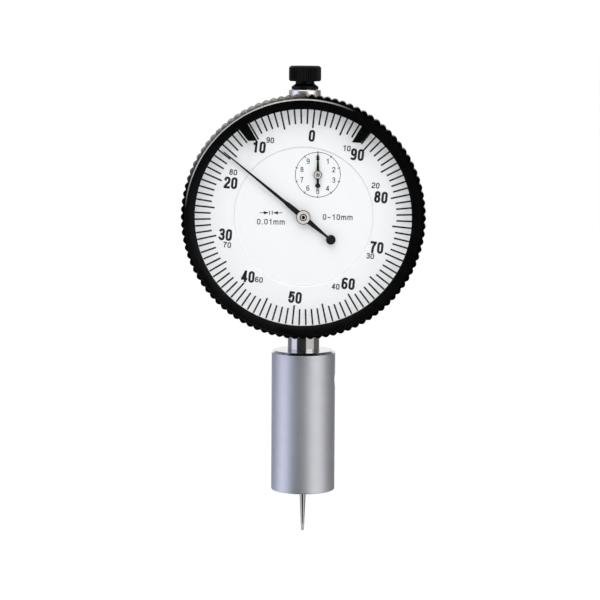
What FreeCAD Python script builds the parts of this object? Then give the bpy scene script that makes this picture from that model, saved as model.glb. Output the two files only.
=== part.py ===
import FreeCAD, Part
import math
import os

# Dial depth gauge with a needle contact point and a cylindrical measuring base.
# Millimetres. Origin: centre of the base's measuring face, on the spindle axis.
# +Z runs up the spindle, the dial faces -Y and +X is the reader's right.
# "Forward" is the distance in front of the spindle axis, towards the reader.
# Dial-side pieces are drawn in a dial frame: x right, y up, z forward, with the
# dial's centre at the origin, and are then stood up on the gauge.

# Travel and needle
SPINDLE_TRAVEL = 10.8
NEEDLE_REACH = 10.7
NEEDLE_TIP_RADIUS = 0.35
NEEDLE_TIP_FLAT = 0.15
NEEDLE_FACE_RADIUS = 0.85
NEEDLE_COLLAR_RADIUS = 1.9
NEEDLE_COLLAR_HEIGHT = 2.4
NEEDLE_THREAD_RADIUS = 1.25
NEEDLE_THREAD_LENGTH = 5.0

# Measuring base and stem
BASE_RADIUS = 8.0
BASE_HEIGHT = 35.5
BASE_TOP_CHAMFER = 0.6
BASE_FOOT_CHAMFER = 0.3
BASE_FLOOR = 3.0
BASE_HOLLOW_RADIUS = 3.1
NEEDLE_HOLE_RADIUS = 1.15
STEM_RADIUS = 4.0
STEM_SEAT_DEPTH = 13.5
STEM_BORE_RADIUS = 2.7
STEM_SPIGOT_RADIUS = 3.4
LOWER_BUSH_LENGTH = 8.0
CLAMP_SCREW_RADIUS = 1.6
CLAMP_SCREW_LENGTH = 3.3
CLAMP_SCREW_BELOW_TOP = 7.6
CLAMP_SOCKET_FLATS = 1.5
CLAMP_SOCKET_DEPTH = 1.4

# Spindle and knob
SPINDLE_RADIUS = 2.25
SPINDLE_LOW_END = 7.5
STUD_RADIUS = 1.2
STUD_LENGTH = 4.0
HOLE_SPARE = 0.4
KNOB_RADIUS = 4.0
KNOB_HEAD_HEIGHT = 3.8
KNOB_HEAD_CHAMFER = 0.45
KNOB_WAIST_RADIUS = 2.35
KNOB_WAIST_HEIGHT = 1.3
KNOB_FLANGE_RADIUS = 3.35
KNOB_FLANGE_HEIGHT = 0.7
KNOB_RIDGES = 36
KNOB_RIDGE_DEPTH = 0.16
KNOB_REST_GAP = 0.1
UPPER_BUSH_RADIUS = 4.0
UPPER_BUSH_HEIGHT = 1.8
UPPER_BUSH_SPIGOT_RADIUS = 3.4
UPPER_BUSH_REACH = 6.0

# Dial head, sizes across the dial axis; the lip's opening sets all the radii
STEM_SHOWN = 4.2
BEZEL_LIP_RADIUS = 26.5
BEZEL_LIP_WIDTH = 2.55
BEZEL_NOSE_STEP = 0.45
BEZEL_RIDGE_DEPTH = 0.5
BEZEL_RIDGES = 96
BEZEL_RIDGE_FLAT = 0.3
BEZEL_NOSE_CHAMFER = 0.35
BEZEL_WALL = 1.4
MARKER_GROOVE_DEPTH = 0.55
CASE_STEP = 0.75
CASE_WALL = 1.9
BACK_COVER_INSET = 0.9
PLATE_EDGE_GAP = 0.4
BOSS_RADIUS = 5.5
BOSS_DROP = 1.7
TOP_BOSS_RISE = 0.75

# Dial head, places forward of the spindle axis
CASE_BACK = -7.6
BACK_COVER_THICKNESS = 1.4
CASE_SHOULDER = 6.1
CASE_COLLAR_FRONT = 9.0
BEZEL_REAR = 6.2
BEZEL_BAND_RISE = 0.25
BEZEL_LIP_RISE = 1.0
BEZEL_NOSE_RISE = 0.55
SCALE_RING_BACK = 9.7
SCALE_RING_THICKNESS = 0.5
SCALE_RING_INNER_RADIUS = 17.0
DIAL_DISC_DROP = 0.3
DIAL_DISC_THICKNESS = 0.5
GLASS_THICKNESS = 0.9
MARKER_GROOVE_WIDTH = 0.4
MARKER_THICKNESS = 0.3
SPACER_WALL = 0.9
LUG_RADIUS = 2.6
LUG_BITE = 0.6
LUG_INSET = 2.3
LUG_FIRST_DEG = 45.0
LUG_COUNT = 4

# Limit markers, angles from twelve o'clock, positive to the left
MARKER_WIDTH = 2.5
MARKER_TIP_WIDTH = 1.9
MARKER_REACH = 4.6
MARKER_CORNER_REACH = 3.45
MARKER_FOOT_OVERLAP = 0.2
MARKER_FOOT_HALF_DEG = 6.0
MARKER_LEFT_DEG = 33.5
MARKER_RIGHT_DEG = -34.8

# Gear train
RACK_PITCH = 0.625
RACK_PINION_TEETH = 16
WHEEL_TEETH = 100
CENTRE_TEETH = 10
PRESSURE_ANGLE = math.radians(20.0)
ADDENDUM = 0.9
DEDENDUM = 1.25
BACKLASH = 0.05
RACK_PITCH_LINE = 1.87
WHEEL_THICKNESS = 0.6
WHEEL_BACK = 4.7
RACK_PINION_HALF_WIDTH = 1.3
CENTRE_PINION_LENGTH = 1.2
ARBOR_RADIUS = 0.5

# Movement plates
BACK_PLATE_BACK = 3.4
PLATE_THICKNESS = 0.8
FRONT_PLATE_BACK = 6.9
FRONT_PLATE_RADIUS = 14.2
PILLAR_RADIUS = 1.2
PILLAR_CIRCLE_RADIUS = 12.5
PILLAR_SPREAD_DEG = 22.0
BRIDGE_FRONT = -1.8
BRIDGE_THICKNESS = 0.8
BRIDGE_HALF_HEIGHT = 4.0
BRIDGE_POST_RADIUS = 1.1
BRIDGE_POST_REACH = 3.7
BRIDGE_POST_RISE = 2.8
BRIDGE_POST_MARGIN = 0.3
BRIDGE_EDGE = 0.75
DISC_FOOT_RADIUS = 1.0
DISC_FOOT_OUT = 11.0
DIAL_HOLE_ROOM = 0.45

# Guide and springs
GUIDE_PIN_RADIUS = 0.9
GUIDE_PIN_REACH = 9.2
GUIDE_PIN_DEPTH = 1.3
GUIDE_BAR_NEAR = 4.2
GUIDE_BAR_WIDTH = 2.0
GUIDE_BAR_DEPTH = 5.1
GUIDE_BAR_END = 2.8
GUIDE_SLOT_SPARE = 0.35
SPRING_ACROSS = 8.0
SPRING_COIL_RADIUS = 1.1
SPRING_WIRE = 0.26
SPRING_TURNS = 10
SPRING_BENDS = 8
SPRING_EYE_DEG = 320.0
SPRING_POST_INSET = 5.6
SPRING_POST_RADIUS = 0.7
SPRING_POST_REACH = 1.3
HAIRSPRING_BACK = 5.8
HAIRSPRING_HEIGHT = 0.4
HAIRSPRING_STRIP = 0.12
HAIRSPRING_TURNS = 4
HAIRSPRING_BENDS = 12
HAIRSPRING_OUTER_RADIUS = 4.2
COLLET_RADIUS = 1.1
COLLET_HEIGHT = 0.7
HAIRSPRING_STUD_RADIUS = 0.45

# Hands
POINTER_GAP = 0.25
POINTER_THICKNESS = 0.2
POINTER_END_GAP = 1.2
POINTER_TAIL = 8.7
POINTER_ROOT_HALF_WIDTH = 0.62
POINTER_TIP_HALF_WIDTH = 0.14
POINTER_TAIL_HALF_WIDTH = 0.36
POINTER_DISC_RADIUS = 1.2
POINTER_DEG = 50.9
POINTER_HUB_RADIUS = 1.75
POINTER_HUB_HEIGHT = 0.5
POINTER_HUB_SLEEVE_WALL = 0.3
POINTER_HUB_SLEEVE_LENGTH = 0.8
POINTER_HUB_GAP = 0.3
COUNTER_GAP = 0.4
COUNTER_THICKNESS = 0.15
COUNTER_LENGTH = 5.1
COUNTER_TAIL = 2.65
COUNTER_ROOT_HALF_WIDTH = 0.42
COUNTER_TIP_HALF_WIDTH = 0.12
COUNTER_TAIL_HALF_WIDTH = 0.2
COUNTER_DISC_RADIUS = 0.62
COUNTER_HUB_RADIUS = 0.95
COUNTER_HUB_HEIGHT = 0.35
COUNTER_HUB_SLEEVE_WALL = 0.15
COUNTER_HUB_SLEEVE_LENGTH = 0.2
HAND_COLLAR_WALL = 0.35
ARBOR_END_REACH = 0.3

# Clearances
RUNNING = 0.04
SEAT = 0.02
MOVING = 0.1
ROTATING_BORE = 0.1

# Sizes that follow from the ones above
BEZEL_NOSE_RADIUS = BEZEL_LIP_RADIUS + BEZEL_LIP_WIDTH
BEZEL_VALLEY_RADIUS = BEZEL_NOSE_RADIUS + BEZEL_NOSE_STEP
BEZEL_PEAK_RADIUS = BEZEL_VALLEY_RADIUS + BEZEL_RIDGE_DEPTH
DIAL_HEIGHT = BASE_HEIGHT + STEM_SHOWN + BEZEL_PEAK_RADIUS
BEZEL_BORE = BEZEL_NOSE_RADIUS - BEZEL_WALL
MARKER_GROOVE_RADIUS = BEZEL_LIP_RADIUS + MARKER_GROOVE_DEPTH
CASE_COLLAR_RADIUS = BEZEL_BORE - ROTATING_BORE
CASE_RADIUS = CASE_COLLAR_RADIUS + CASE_STEP
CASE_BORE_RADIUS = CASE_COLLAR_RADIUS - CASE_WALL
BACK_COVER_RADIUS = CASE_RADIUS - BACK_COVER_INSET
BACK_PLATE_RADIUS = CASE_BORE_RADIUS - PLATE_EDGE_GAP
LUG_CIRCLE_RADIUS = CASE_BORE_RADIUS - LUG_INSET
DIAL_DISC_RADIUS = SCALE_RING_INNER_RADIUS - ROTATING_BORE
POINTER_LENGTH = BEZEL_LIP_RADIUS - POINTER_END_GAP
SPRING_POST_BELOW = BACK_PLATE_RADIUS - SPRING_POST_INSET
MODULE = RACK_PITCH / math.pi
GEAR_CENTRES = MODULE * (WHEEL_TEETH + CENTRE_TEETH) / 2
RACK_PINION_PITCH_RADIUS = MODULE * RACK_PINION_TEETH / 2
DRIVE_X = -(RACK_PITCH_LINE + RACK_PINION_PITCH_RADIUS)
DRIVE_Y = -math.sqrt(GEAR_CENTRES ** 2 - DRIVE_X ** 2)
DRIVE = (DRIVE_X, DRIVE_Y)
TAKE_UP = (-DRIVE_X, -DRIVE_Y)
CENTRE = (0.0, 0.0)
DISC_FEET = [(-DISC_FOOT_OUT, 0.0), (DISC_FOOT_OUT, 0.0)]
STEM_LOW_END = BASE_HEIGHT - STEM_SEAT_DEPTH
STEM_SHOULDER = DIAL_HEIGHT - CASE_RADIUS - BOSS_DROP
BUSH_SEAT = DIAL_HEIGHT + CASE_RADIUS + TOP_BOSS_RISE
BUSH_TOP = BUSH_SEAT + UPPER_BUSH_HEIGHT
SPINDLE_TOP = BUSH_TOP + KNOB_REST_GAP
BOSS_INNER_REACH = BACK_PLATE_RADIUS + 2 * MOVING
STEM_TOP = DIAL_HEIGHT - BOSS_INNER_REACH
BACK_PLATE_FRONT = BACK_PLATE_BACK + PLATE_THICKNESS
FRONT_PLATE_FRONT = FRONT_PLATE_BACK + PLATE_THICKNESS
SCALE_RING_FRONT = SCALE_RING_BACK + SCALE_RING_THICKNESS
DIAL_DISC_FRONT = SCALE_RING_FRONT - DIAL_DISC_DROP
COUNTER_BACK = DIAL_DISC_FRONT + COUNTER_GAP
COUNTER_FRONT = COUNTER_BACK + COUNTER_THICKNESS
POINTER_BACK = COUNTER_FRONT + COUNTER_HUB_HEIGHT + POINTER_GAP
POINTER_FRONT = POINTER_BACK + POINTER_THICKNESS
GLASS_BACK = POINTER_FRONT + POINTER_HUB_HEIGHT + POINTER_HUB_GAP
GLASS_FRONT = GLASS_BACK + GLASS_THICKNESS
BEZEL_BAND_FRONT = GLASS_FRONT + BEZEL_BAND_RISE
BEZEL_LIP_FRONT = GLASS_FRONT + BEZEL_LIP_RISE
BEZEL_NOSE_FRONT = BEZEL_LIP_FRONT + BEZEL_NOSE_RISE
MARKER_GROOVE_FRONT = GLASS_FRONT + MARKER_GROOVE_WIDTH
POINTER_BORE = ARBOR_RADIUS + POINTER_HUB_SLEEVE_WALL
COUNTER_BORE = ARBOR_RADIUS + COUNTER_HUB_SLEEVE_WALL
GUIDE_SLOT_HALF = GUIDE_PIN_RADIUS + RUNNING
WHEEL_FRONT = WHEEL_BACK + WHEEL_THICKNESS

ORIGIN = FreeCAD.Vector(0, 0, 0)
AXIS_X = FreeCAD.Vector(1, 0, 0)
AXIS_Y = FreeCAD.Vector(0, 1, 0)
AXIS_Z = FreeCAD.Vector(0, 0, 1)


def at(x, y, z):
    return FreeCAD.Vector(x, y, z)


def polar(radius, angle):
    """Point of the dial frame at a radius and an angle from +X, counter-clockwise."""
    return at(radius * math.cos(angle), radius * math.sin(angle), 0)


def stand_up(shape):
    """Carry a shape from the dial frame to the gauge's own frame."""
    stand = FreeCAD.Placement(at(0, 0, DIAL_HEIGHT), FreeCAD.Rotation(AXIS_X, 90))
    placed = shape.copy()
    placed.Placement = stand.multiply(shape.Placement)
    return placed


def rod(radius, low, high, centre=CENTRE):
    """Solid cylinder along z of whichever frame it is used in."""
    return Part.makeCylinder(radius, high - low, at(centre[0], centre[1], low), AXIS_Z)


def tube(outer, inner, low, high, centre=CENTRE):
    return rod(outer, low, high, centre).cut(rod(inner, low - 1, high + 1, centre))


def turned(profile, centre=CENTRE):
    """Solid turned about z from a closed outline of (radius, z) corners."""
    corners = [at(radius, 0, z) for radius, z in profile]
    face = Part.Face(Part.makePolygon(corners + corners[:1]))
    solid = face.revolve(ORIGIN, AXIS_Z, 360)
    solid.translate(at(centre[0], centre[1], 0))
    return solid


def plate_of(corners, low, high):
    """Flat piece with straight edges through the given corners."""
    outline = [at(point.x, point.y, low) for point in corners]
    face = Part.Face(Part.makePolygon(outline + outline[:1]))
    return face.extrude(at(0, 0, high - low))


def fused(shapes):
    whole = shapes[0].multiFuse(shapes[1:])
    return whole.removeSplitter()


def pillar_centres():
    """Three pillars beside the line of arbors, clear of both wheels."""
    across = math.atan2(DRIVE[1], DRIVE[0]) + math.pi / 2
    spread = math.radians(PILLAR_SPREAD_DEG)
    return [polar(PILLAR_CIRCLE_RADIUS, across + turn) for turn in (-spread, spread, math.pi)]


def lug_centres():
    step = 360.0 / LUG_COUNT
    angles = [math.radians(LUG_FIRST_DEG + step * k) for k in range(LUG_COUNT)]
    return [polar(LUG_CIRCLE_RADIUS, angle) for angle in angles]


# Gear teeth


def involute(angle):
    return math.tan(angle) - angle


def tooth_half_angle(teeth, radius):
    """Half the angle that an involute tooth fills at a radius."""
    pitch_radius = MODULE * teeth / 2
    base_radius = pitch_radius * math.cos(PRESSURE_ANGLE)
    at_pitch = (RACK_PITCH - BACKLASH) / 4 / pitch_radius
    slope = math.acos(min(1.0, base_radius / radius))
    return at_pitch + involute(PRESSURE_ANGLE) - involute(slope)


def flank_radii(teeth):
    """Radii of a flank's corners, from the root to the tip."""
    pitch_radius = MODULE * teeth / 2
    base_radius = pitch_radius * math.cos(PRESSURE_ANGLE)
    root = pitch_radius - DEDENDUM * MODULE
    tip = pitch_radius + ADDENDUM * MODULE
    if base_radius > root:
        return [root, base_radius, pitch_radius, tip]
    return [root, tip]


def toothed_blank(teeth, first_tooth, low, high, centre=CENTRE):
    """Spur gear along z with the middle of one tooth at the angle first_tooth."""
    corners = []
    radii = flank_radii(teeth)
    for k in range(teeth):
        middle = first_tooth + 2 * math.pi * k / teeth
        rising = [polar(radius, middle - tooth_half_angle(teeth, radius)) for radius in radii]
        falling = [polar(radius, middle + tooth_half_angle(teeth, radius)) for radius in radii]
        corners += rising + falling[::-1]
    gear = plate_of(corners, low, high)
    gear.translate(at(centre[0], centre[1], 0))
    return gear


def meshing_tooth(driver_teeth, driver_tooth, towards, driven_teeth):
    """Angle of a tooth on the driven gear that meshes with the driver's.

    towards is the direction from the driver's centre to the driven gear's. The driver's
    tooth lies a part of a pitch short of that line, and the driven gear has a gap there.
    """
    short = ((towards - driver_tooth) / (2 * math.pi / driver_teeth)) % 1.0
    return towards + math.pi + (short + 0.5) * 2 * math.pi / driven_teeth


RACK_PINION_TOOTH = 0.0
DRIVE_WHEEL_TOOTH = math.atan2(-DRIVE[1], -DRIVE[0])
CENTRE_TOOTH = meshing_tooth(WHEEL_TEETH, DRIVE_WHEEL_TOOTH, DRIVE_WHEEL_TOOTH, CENTRE_TEETH)
TAKE_UP_WHEEL_TOOTH = meshing_tooth(
    CENTRE_TEETH, CENTRE_TOOTH, math.atan2(TAKE_UP[1], TAKE_UP[0]), WHEEL_TEETH)


def wheel(tooth, centre):
    """Toothed wheel bored for its arbor."""
    blank = toothed_blank(WHEEL_TEETH, tooth, WHEEL_BACK, WHEEL_FRONT)
    bore = rod(ARBOR_RADIUS + SEAT, WHEEL_BACK - 1, WHEEL_FRONT + 1)
    bored = blank.cut(bore)
    bored.translate(at(centre[0], centre[1], 0))
    return stand_up(bored)


# Base, stem and spindle


def measuring_base():
    """Turned sleeve: seats on the stem, hollow round the spindle, needle hole in the floor."""
    body = turned([
        (0, 0),
        (BASE_RADIUS - BASE_FOOT_CHAMFER, 0),
        (BASE_RADIUS, BASE_FOOT_CHAMFER),
        (BASE_RADIUS, BASE_HEIGHT - BASE_TOP_CHAMFER),
        (BASE_RADIUS - BASE_TOP_CHAMFER, BASE_HEIGHT),
        (0, BASE_HEIGHT),
    ])
    seat = rod(STEM_RADIUS + SEAT, STEM_LOW_END, BASE_HEIGHT + 1)
    hollow = rod(BASE_HOLLOW_RADIUS, BASE_FLOOR, STEM_LOW_END + 1)
    needle_hole = rod(NEEDLE_HOLE_RADIUS, -1, BASE_FLOOR + 1)
    screw_height = BASE_HEIGHT - CLAMP_SCREW_BELOW_TOP
    screw_hole = Part.makeCylinder(
        CLAMP_SCREW_RADIUS + SEAT, BASE_RADIUS + 1, at(0, 0, screw_height), AXIS_X)
    return body.cut(seat).cut(hollow).cut(needle_hole).cut(screw_hole)


def base_clamp_screw():
    """Grub screw that bears on the stem, with a hexagon socket in its outer end."""
    low = STEM_RADIUS + SEAT
    body = rod(CLAMP_SCREW_RADIUS, low, low + CLAMP_SCREW_LENGTH)
    corner = CLAMP_SOCKET_FLATS / math.sqrt(3)
    corners = [polar(corner, math.radians(60 * k)) for k in range(6)]
    top = low + CLAMP_SCREW_LENGTH
    socket = plate_of(corners, top - CLAMP_SOCKET_DEPTH, top + 1)
    screw = body.cut(socket)
    screw.rotate(ORIGIN, AXIS_Y, 90)
    screw.translate(at(0, 0, BASE_HEIGHT - CLAMP_SCREW_BELOW_TOP))
    return screw


def stem():
    """Tube with a reduced spigot that is pressed into the case."""
    outside = turned([
        (0, STEM_LOW_END),
        (STEM_RADIUS, STEM_LOW_END),
        (STEM_RADIUS, STEM_SHOULDER),
        (STEM_SPIGOT_RADIUS, STEM_SHOULDER),
        (STEM_SPIGOT_RADIUS, STEM_TOP),
        (0, STEM_TOP),
    ])
    return outside.cut(rod(STEM_BORE_RADIUS, STEM_LOW_END - 1, STEM_TOP + 1))


def lower_guide_bush():
    return tube(
        STEM_BORE_RADIUS - SEAT, SPINDLE_RADIUS + RUNNING, STEM_LOW_END, STEM_LOW_END + LOWER_BUSH_LENGTH)


def upper_guide_bush():
    """Collar on top of the case, with a spigot through the wall that guides the spindle."""
    low = BUSH_SEAT - UPPER_BUSH_REACH
    outside = turned([
        (0, low),
        (UPPER_BUSH_SPIGOT_RADIUS, low),
        (UPPER_BUSH_SPIGOT_RADIUS, BUSH_SEAT),
        (UPPER_BUSH_RADIUS, BUSH_SEAT),
        (UPPER_BUSH_RADIUS, BUSH_TOP),
        (0, BUSH_TOP),
    ])
    return outside.cut(rod(SPINDLE_RADIUS + RUNNING, low - 1, BUSH_TOP + 1))


def rack_gaps():
    """The cutter that leaves rack teeth on the spindle's left side.

    One gap lies level with the drive arbor, where the pinion has a tooth.
    """
    tip_line = -(RACK_PITCH_LINE + ADDENDUM * MODULE)
    root_line = -(RACK_PITCH_LINE - DEDENDUM * MODULE)
    slope = math.tan(PRESSURE_ANGLE)
    half_at_pitch = (RACK_PITCH + BACKLASH) / 4
    half_at_root = half_at_pitch - DEDENDUM * MODULE * slope
    half_at_tip = half_at_pitch + ADDENDUM * MODULE * slope
    mesh_height = DIAL_HEIGHT + DRIVE[1]
    spare = 2
    gaps_below = math.ceil(SPINDLE_TRAVEL / RACK_PITCH) + spare
    outside = -SPINDLE_RADIUS - 1
    corners = []
    for k in range(-gaps_below, spare + 1):
        middle = mesh_height + k * RACK_PITCH
        corners.append((tip_line, middle - half_at_tip))
        corners.append((root_line, middle - half_at_root))
        corners.append((root_line, middle + half_at_root))
        corners.append((tip_line, middle + half_at_tip))
    corners.append((outside, corners[-1][1]))
    corners.append((outside, corners[0][1]))
    points = [at(x, -SPINDLE_RADIUS - 1, z) for x, z in corners]
    face = Part.Face(Part.makePolygon(points + points[:1]))
    return face.extrude(at(0, 2 * SPINDLE_RADIUS + 2, 0))


def spindle():
    """Rod with a rack, a stud for the knob, a needle thread hole and a guide pin hole."""
    body = turned([
        (0, SPINDLE_LOW_END),
        (SPINDLE_RADIUS, SPINDLE_LOW_END),
        (SPINDLE_RADIUS, SPINDLE_TOP),
        (STUD_RADIUS, SPINDLE_TOP),
        (STUD_RADIUS, SPINDLE_TOP + STUD_LENGTH),
        (0, SPINDLE_TOP + STUD_LENGTH),
    ])
    thread_hole = rod(
        NEEDLE_THREAD_RADIUS + SEAT, SPINDLE_LOW_END - 1,
        SPINDLE_LOW_END + NEEDLE_THREAD_LENGTH + HOLE_SPARE)
    pin_start = SPINDLE_RADIUS - GUIDE_PIN_DEPTH
    pin_hole = Part.makeCylinder(
        GUIDE_PIN_RADIUS + SEAT, SPINDLE_RADIUS, at(pin_start, 0, DIAL_HEIGHT), AXIS_X)
    return body.cut(rack_gaps()).cut(thread_hole).cut(pin_hole)


def contact_needle():
    """Turned needle: blunt tip, long taper, collar and a threaded end in the spindle."""
    tip = -NEEDLE_REACH
    collar_low = SPINDLE_LOW_END - NEEDLE_COLLAR_HEIGHT
    return turned([
        (0, tip),
        (NEEDLE_TIP_FLAT, tip),
        (NEEDLE_TIP_RADIUS, tip + NEEDLE_TIP_RADIUS - NEEDLE_TIP_FLAT),
        (NEEDLE_FACE_RADIUS, 0),
        (NEEDLE_FACE_RADIUS, collar_low),
        (NEEDLE_COLLAR_RADIUS, collar_low),
        (NEEDLE_COLLAR_RADIUS, SPINDLE_LOW_END - SEAT),
        (NEEDLE_THREAD_RADIUS, SPINDLE_LOW_END - SEAT),
        (NEEDLE_THREAD_RADIUS, SPINDLE_LOW_END + NEEDLE_THREAD_LENGTH),
        (0, SPINDLE_LOW_END + NEEDLE_THREAD_LENGTH),
    ])


def lifting_knob():
    """Knurled head on a waisted neck with a flange, screwed on the spindle's stud."""
    low = SPINDLE_TOP
    flange_top = low + KNOB_FLANGE_HEIGHT
    head_low = flange_top + KNOB_WAIST_HEIGHT
    head_top = head_low + KNOB_HEAD_HEIGHT
    valley = KNOB_RADIUS - KNOB_RIDGE_DEPTH
    step = 2 * math.pi / KNOB_RIDGES
    corners = []
    for k in range(KNOB_RIDGES):
        corners.append(polar(KNOB_RADIUS, step * k))
        corners.append(polar(valley, step * (k + 0.5)))
    knurl = plate_of(corners, head_low, head_top - KNOB_HEAD_CHAMFER)
    core = turned([
        (0, low),
        (KNOB_FLANGE_RADIUS, low),
        (KNOB_FLANGE_RADIUS, flange_top),
        (KNOB_WAIST_RADIUS, flange_top + KNOB_WAIST_HEIGHT / 2),
        (KNOB_WAIST_RADIUS, head_low),
        (0, head_low),
    ])
    crown = turned([
        (0, head_top - KNOB_HEAD_CHAMFER),
        (valley, head_top - KNOB_HEAD_CHAMFER),
        (valley - KNOB_HEAD_CHAMFER, head_top),
        (0, head_top),
    ])
    stud_hole = rod(STUD_RADIUS + SEAT, low - 1, low + STUD_LENGTH + HOLE_SPARE)
    return fused([core, knurl, crown]).cut(stud_hole)


def guide_pin():
    """Cross pin that keeps the spindle from turning and carries the return spring."""
    start = SPINDLE_RADIUS - GUIDE_PIN_DEPTH
    return Part.makeCylinder(
        GUIDE_PIN_RADIUS, GUIDE_PIN_REACH - start, at(start, 0, DIAL_HEIGHT), AXIS_X)


# Housing


def case():
    """Round shell with a front collar, four lugs, and bosses for the stem and upper bush."""
    shell = turned([
        (CASE_BORE_RADIUS, CASE_BACK),
        (CASE_RADIUS, CASE_BACK),
        (CASE_RADIUS, CASE_SHOULDER),
        (CASE_COLLAR_RADIUS, CASE_SHOULDER),
        (CASE_COLLAR_RADIUS, CASE_COLLAR_FRONT),
        (CASE_BORE_RADIUS, CASE_COLLAR_FRONT),
    ])
    inside = rod(CASE_BORE_RADIUS + LUG_BITE, CASE_BACK, BACK_PLATE_BACK)
    lugs = [rod(LUG_RADIUS, CASE_BACK, BACK_PLATE_BACK, (c.x, c.y)) for c in lug_centres()]
    head = stand_up(fused([shell] + [lug.common(inside) for lug in lugs]))
    low_boss = rod(BOSS_RADIUS, STEM_SHOULDER, DIAL_HEIGHT - BOSS_INNER_REACH)
    top_boss = rod(BOSS_RADIUS, DIAL_HEIGHT + BOSS_INNER_REACH, BUSH_SEAT)
    whole = fused([head, low_boss, top_boss])
    whole = whole.cut(rod(STEM_SPIGOT_RADIUS + SEAT, STEM_SHOULDER - 1, DIAL_HEIGHT))
    return whole.cut(rod(UPPER_BUSH_SPIGOT_RADIUS + SEAT, DIAL_HEIGHT, BUSH_SEAT + 1))


def back_cover():
    return stand_up(rod(BACK_COVER_RADIUS, CASE_BACK - BACK_COVER_THICKNESS, CASE_BACK))


# Bezel and what turns with it


def bezel():
    """Turned ring with a serrated grip band, a lip over the glass and a stepped inside."""
    corners = []
    step = 2 * math.pi / BEZEL_RIDGES
    for k in range(BEZEL_RIDGES):
        corners.append(polar(BEZEL_VALLEY_RADIUS, step * k))
        corners.append(polar(BEZEL_PEAK_RADIUS, step * (k + 0.5 - BEZEL_RIDGE_FLAT / 2)))
        corners.append(polar(BEZEL_PEAK_RADIUS, step * (k + 0.5 + BEZEL_RIDGE_FLAT / 2)))
    band = plate_of(corners, BEZEL_REAR, BEZEL_BAND_FRONT)
    nose = turned([
        (0, BEZEL_REAR),
        (BEZEL_NOSE_RADIUS, BEZEL_REAR),
        (BEZEL_NOSE_RADIUS, BEZEL_NOSE_FRONT - BEZEL_NOSE_CHAMFER),
        (BEZEL_NOSE_RADIUS - BEZEL_NOSE_CHAMFER, BEZEL_NOSE_FRONT),
        (BEZEL_LIP_RADIUS, BEZEL_LIP_FRONT),
        (0, BEZEL_LIP_FRONT),
    ])
    inside = turned([
        (0, BEZEL_REAR - 1),
        (BEZEL_BORE, BEZEL_REAR - 1),
        (BEZEL_BORE, GLASS_FRONT),
        (MARKER_GROOVE_RADIUS, GLASS_FRONT),
        (MARKER_GROOVE_RADIUS, MARKER_GROOVE_FRONT),
        (BEZEL_LIP_RADIUS, MARKER_GROOVE_FRONT),
        (BEZEL_LIP_RADIUS, BEZEL_NOSE_FRONT + 1),
        (0, BEZEL_NOSE_FRONT + 1),
    ])
    return stand_up(fused([band, nose]).cut(inside))


def glass():
    """Flat crystal that bears on the ledge behind the bezel's lip."""
    return stand_up(rod(BEZEL_BORE - SEAT, GLASS_BACK, GLASS_FRONT))


def glass_spacer():
    """Ring that keeps the scale ring and the crystal apart."""
    outer = BEZEL_BORE - SEAT
    inner = outer - SPACER_WALL
    return stand_up(tube(outer, inner, SCALE_RING_FRONT, GLASS_BACK))


def scale_ring():
    """Flat ring that carries the hundred divisions and turns with the bezel."""
    return stand_up(tube(
        BEZEL_BORE - SEAT, SCALE_RING_INNER_RADIUS, SCALE_RING_BACK, SCALE_RING_FRONT))


def limit_marker(angle_deg):
    """Half-arrow of sheet metal whose foot runs under the bezel's lip."""
    towards_top = -1 if angle_deg > 0 else 1
    wide = towards_top * MARKER_WIDTH / 2
    narrow = towards_top * MARKER_TIP_WIDTH / 2
    foot_outer = MARKER_GROOVE_RADIUS - RUNNING
    foot_inner = BEZEL_LIP_RADIUS
    low = GLASS_FRONT + (MARKER_GROOVE_WIDTH - MARKER_THICKNESS) / 2
    high = low + MARKER_THICKNESS
    root = foot_inner + MARKER_FOOT_OVERLAP
    arrow = plate_of([
        at(foot_inner - MARKER_REACH, narrow, 0),
        at(root, wide, 0),
        at(root, -wide, 0),
        at(foot_inner - MARKER_CORNER_REACH, -narrow, 0),
    ], low, high)
    spread = math.radians(MARKER_FOOT_HALF_DEG)
    wedge = plate_of(
        [at(0, 0, 0), polar(BEZEL_PEAK_RADIUS, -spread), polar(BEZEL_PEAK_RADIUS, spread)], low, high)
    foot = tube(foot_outer, foot_inner, low, high).common(wedge)
    marker = fused([arrow, foot])
    marker.rotate(ORIGIN, AXIS_Z, 90 + angle_deg)
    return stand_up(marker)


# Dial disc and hands


def dial_disc():
    """Fixed inner dial with two feet that stand on the front plate."""
    back = DIAL_DISC_FRONT - DIAL_DISC_THICKNESS
    feet = [rod(DISC_FOOT_RADIUS, FRONT_PLATE_FRONT, back, centre) for centre in DISC_FEET]
    disc = fused([rod(DIAL_DISC_RADIUS, back, DIAL_DISC_FRONT)] + feet)
    hole = ARBOR_RADIUS + DIAL_HOLE_ROOM
    shaft_holes = [rod(hole, back - 1, DIAL_DISC_FRONT + 1, centre) for centre in (CENTRE, TAKE_UP)]
    return stand_up(disc.cut(Part.makeCompound(shaft_holes)))


def hand_blade(length, root_half, tip_half, tail, tail_half, disc_radius, bore, low, high):
    """Tapered hand along +y with a round counterweight at its tail."""
    blade = plate_of([
        at(root_half, 0, 0), at(tip_half, length, 0), at(-tip_half, length, 0), at(-root_half, 0, 0),
        at(-tail_half, -tail, 0), at(tail_half, -tail, 0),
    ], low, high)
    collar = rod(bore + HAND_COLLAR_WALL, low, high)
    weight = rod(disc_radius, low, high, (0, -tail))
    return fused([blade, collar, weight]).cut(rod(bore, low - 1, high + 1))


def hand_hub(neck, flange, low, shoulder, top):
    """Turned hub: a neck through the blade and a flange in front of it."""
    body = turned([
        (0, low),
        (neck, low),
        (neck, shoulder),
        (flange, shoulder),
        (flange, top),
        (0, top),
    ])
    return body.cut(rod(ARBOR_RADIUS + SEAT, low - 1, top + 1))


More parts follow.
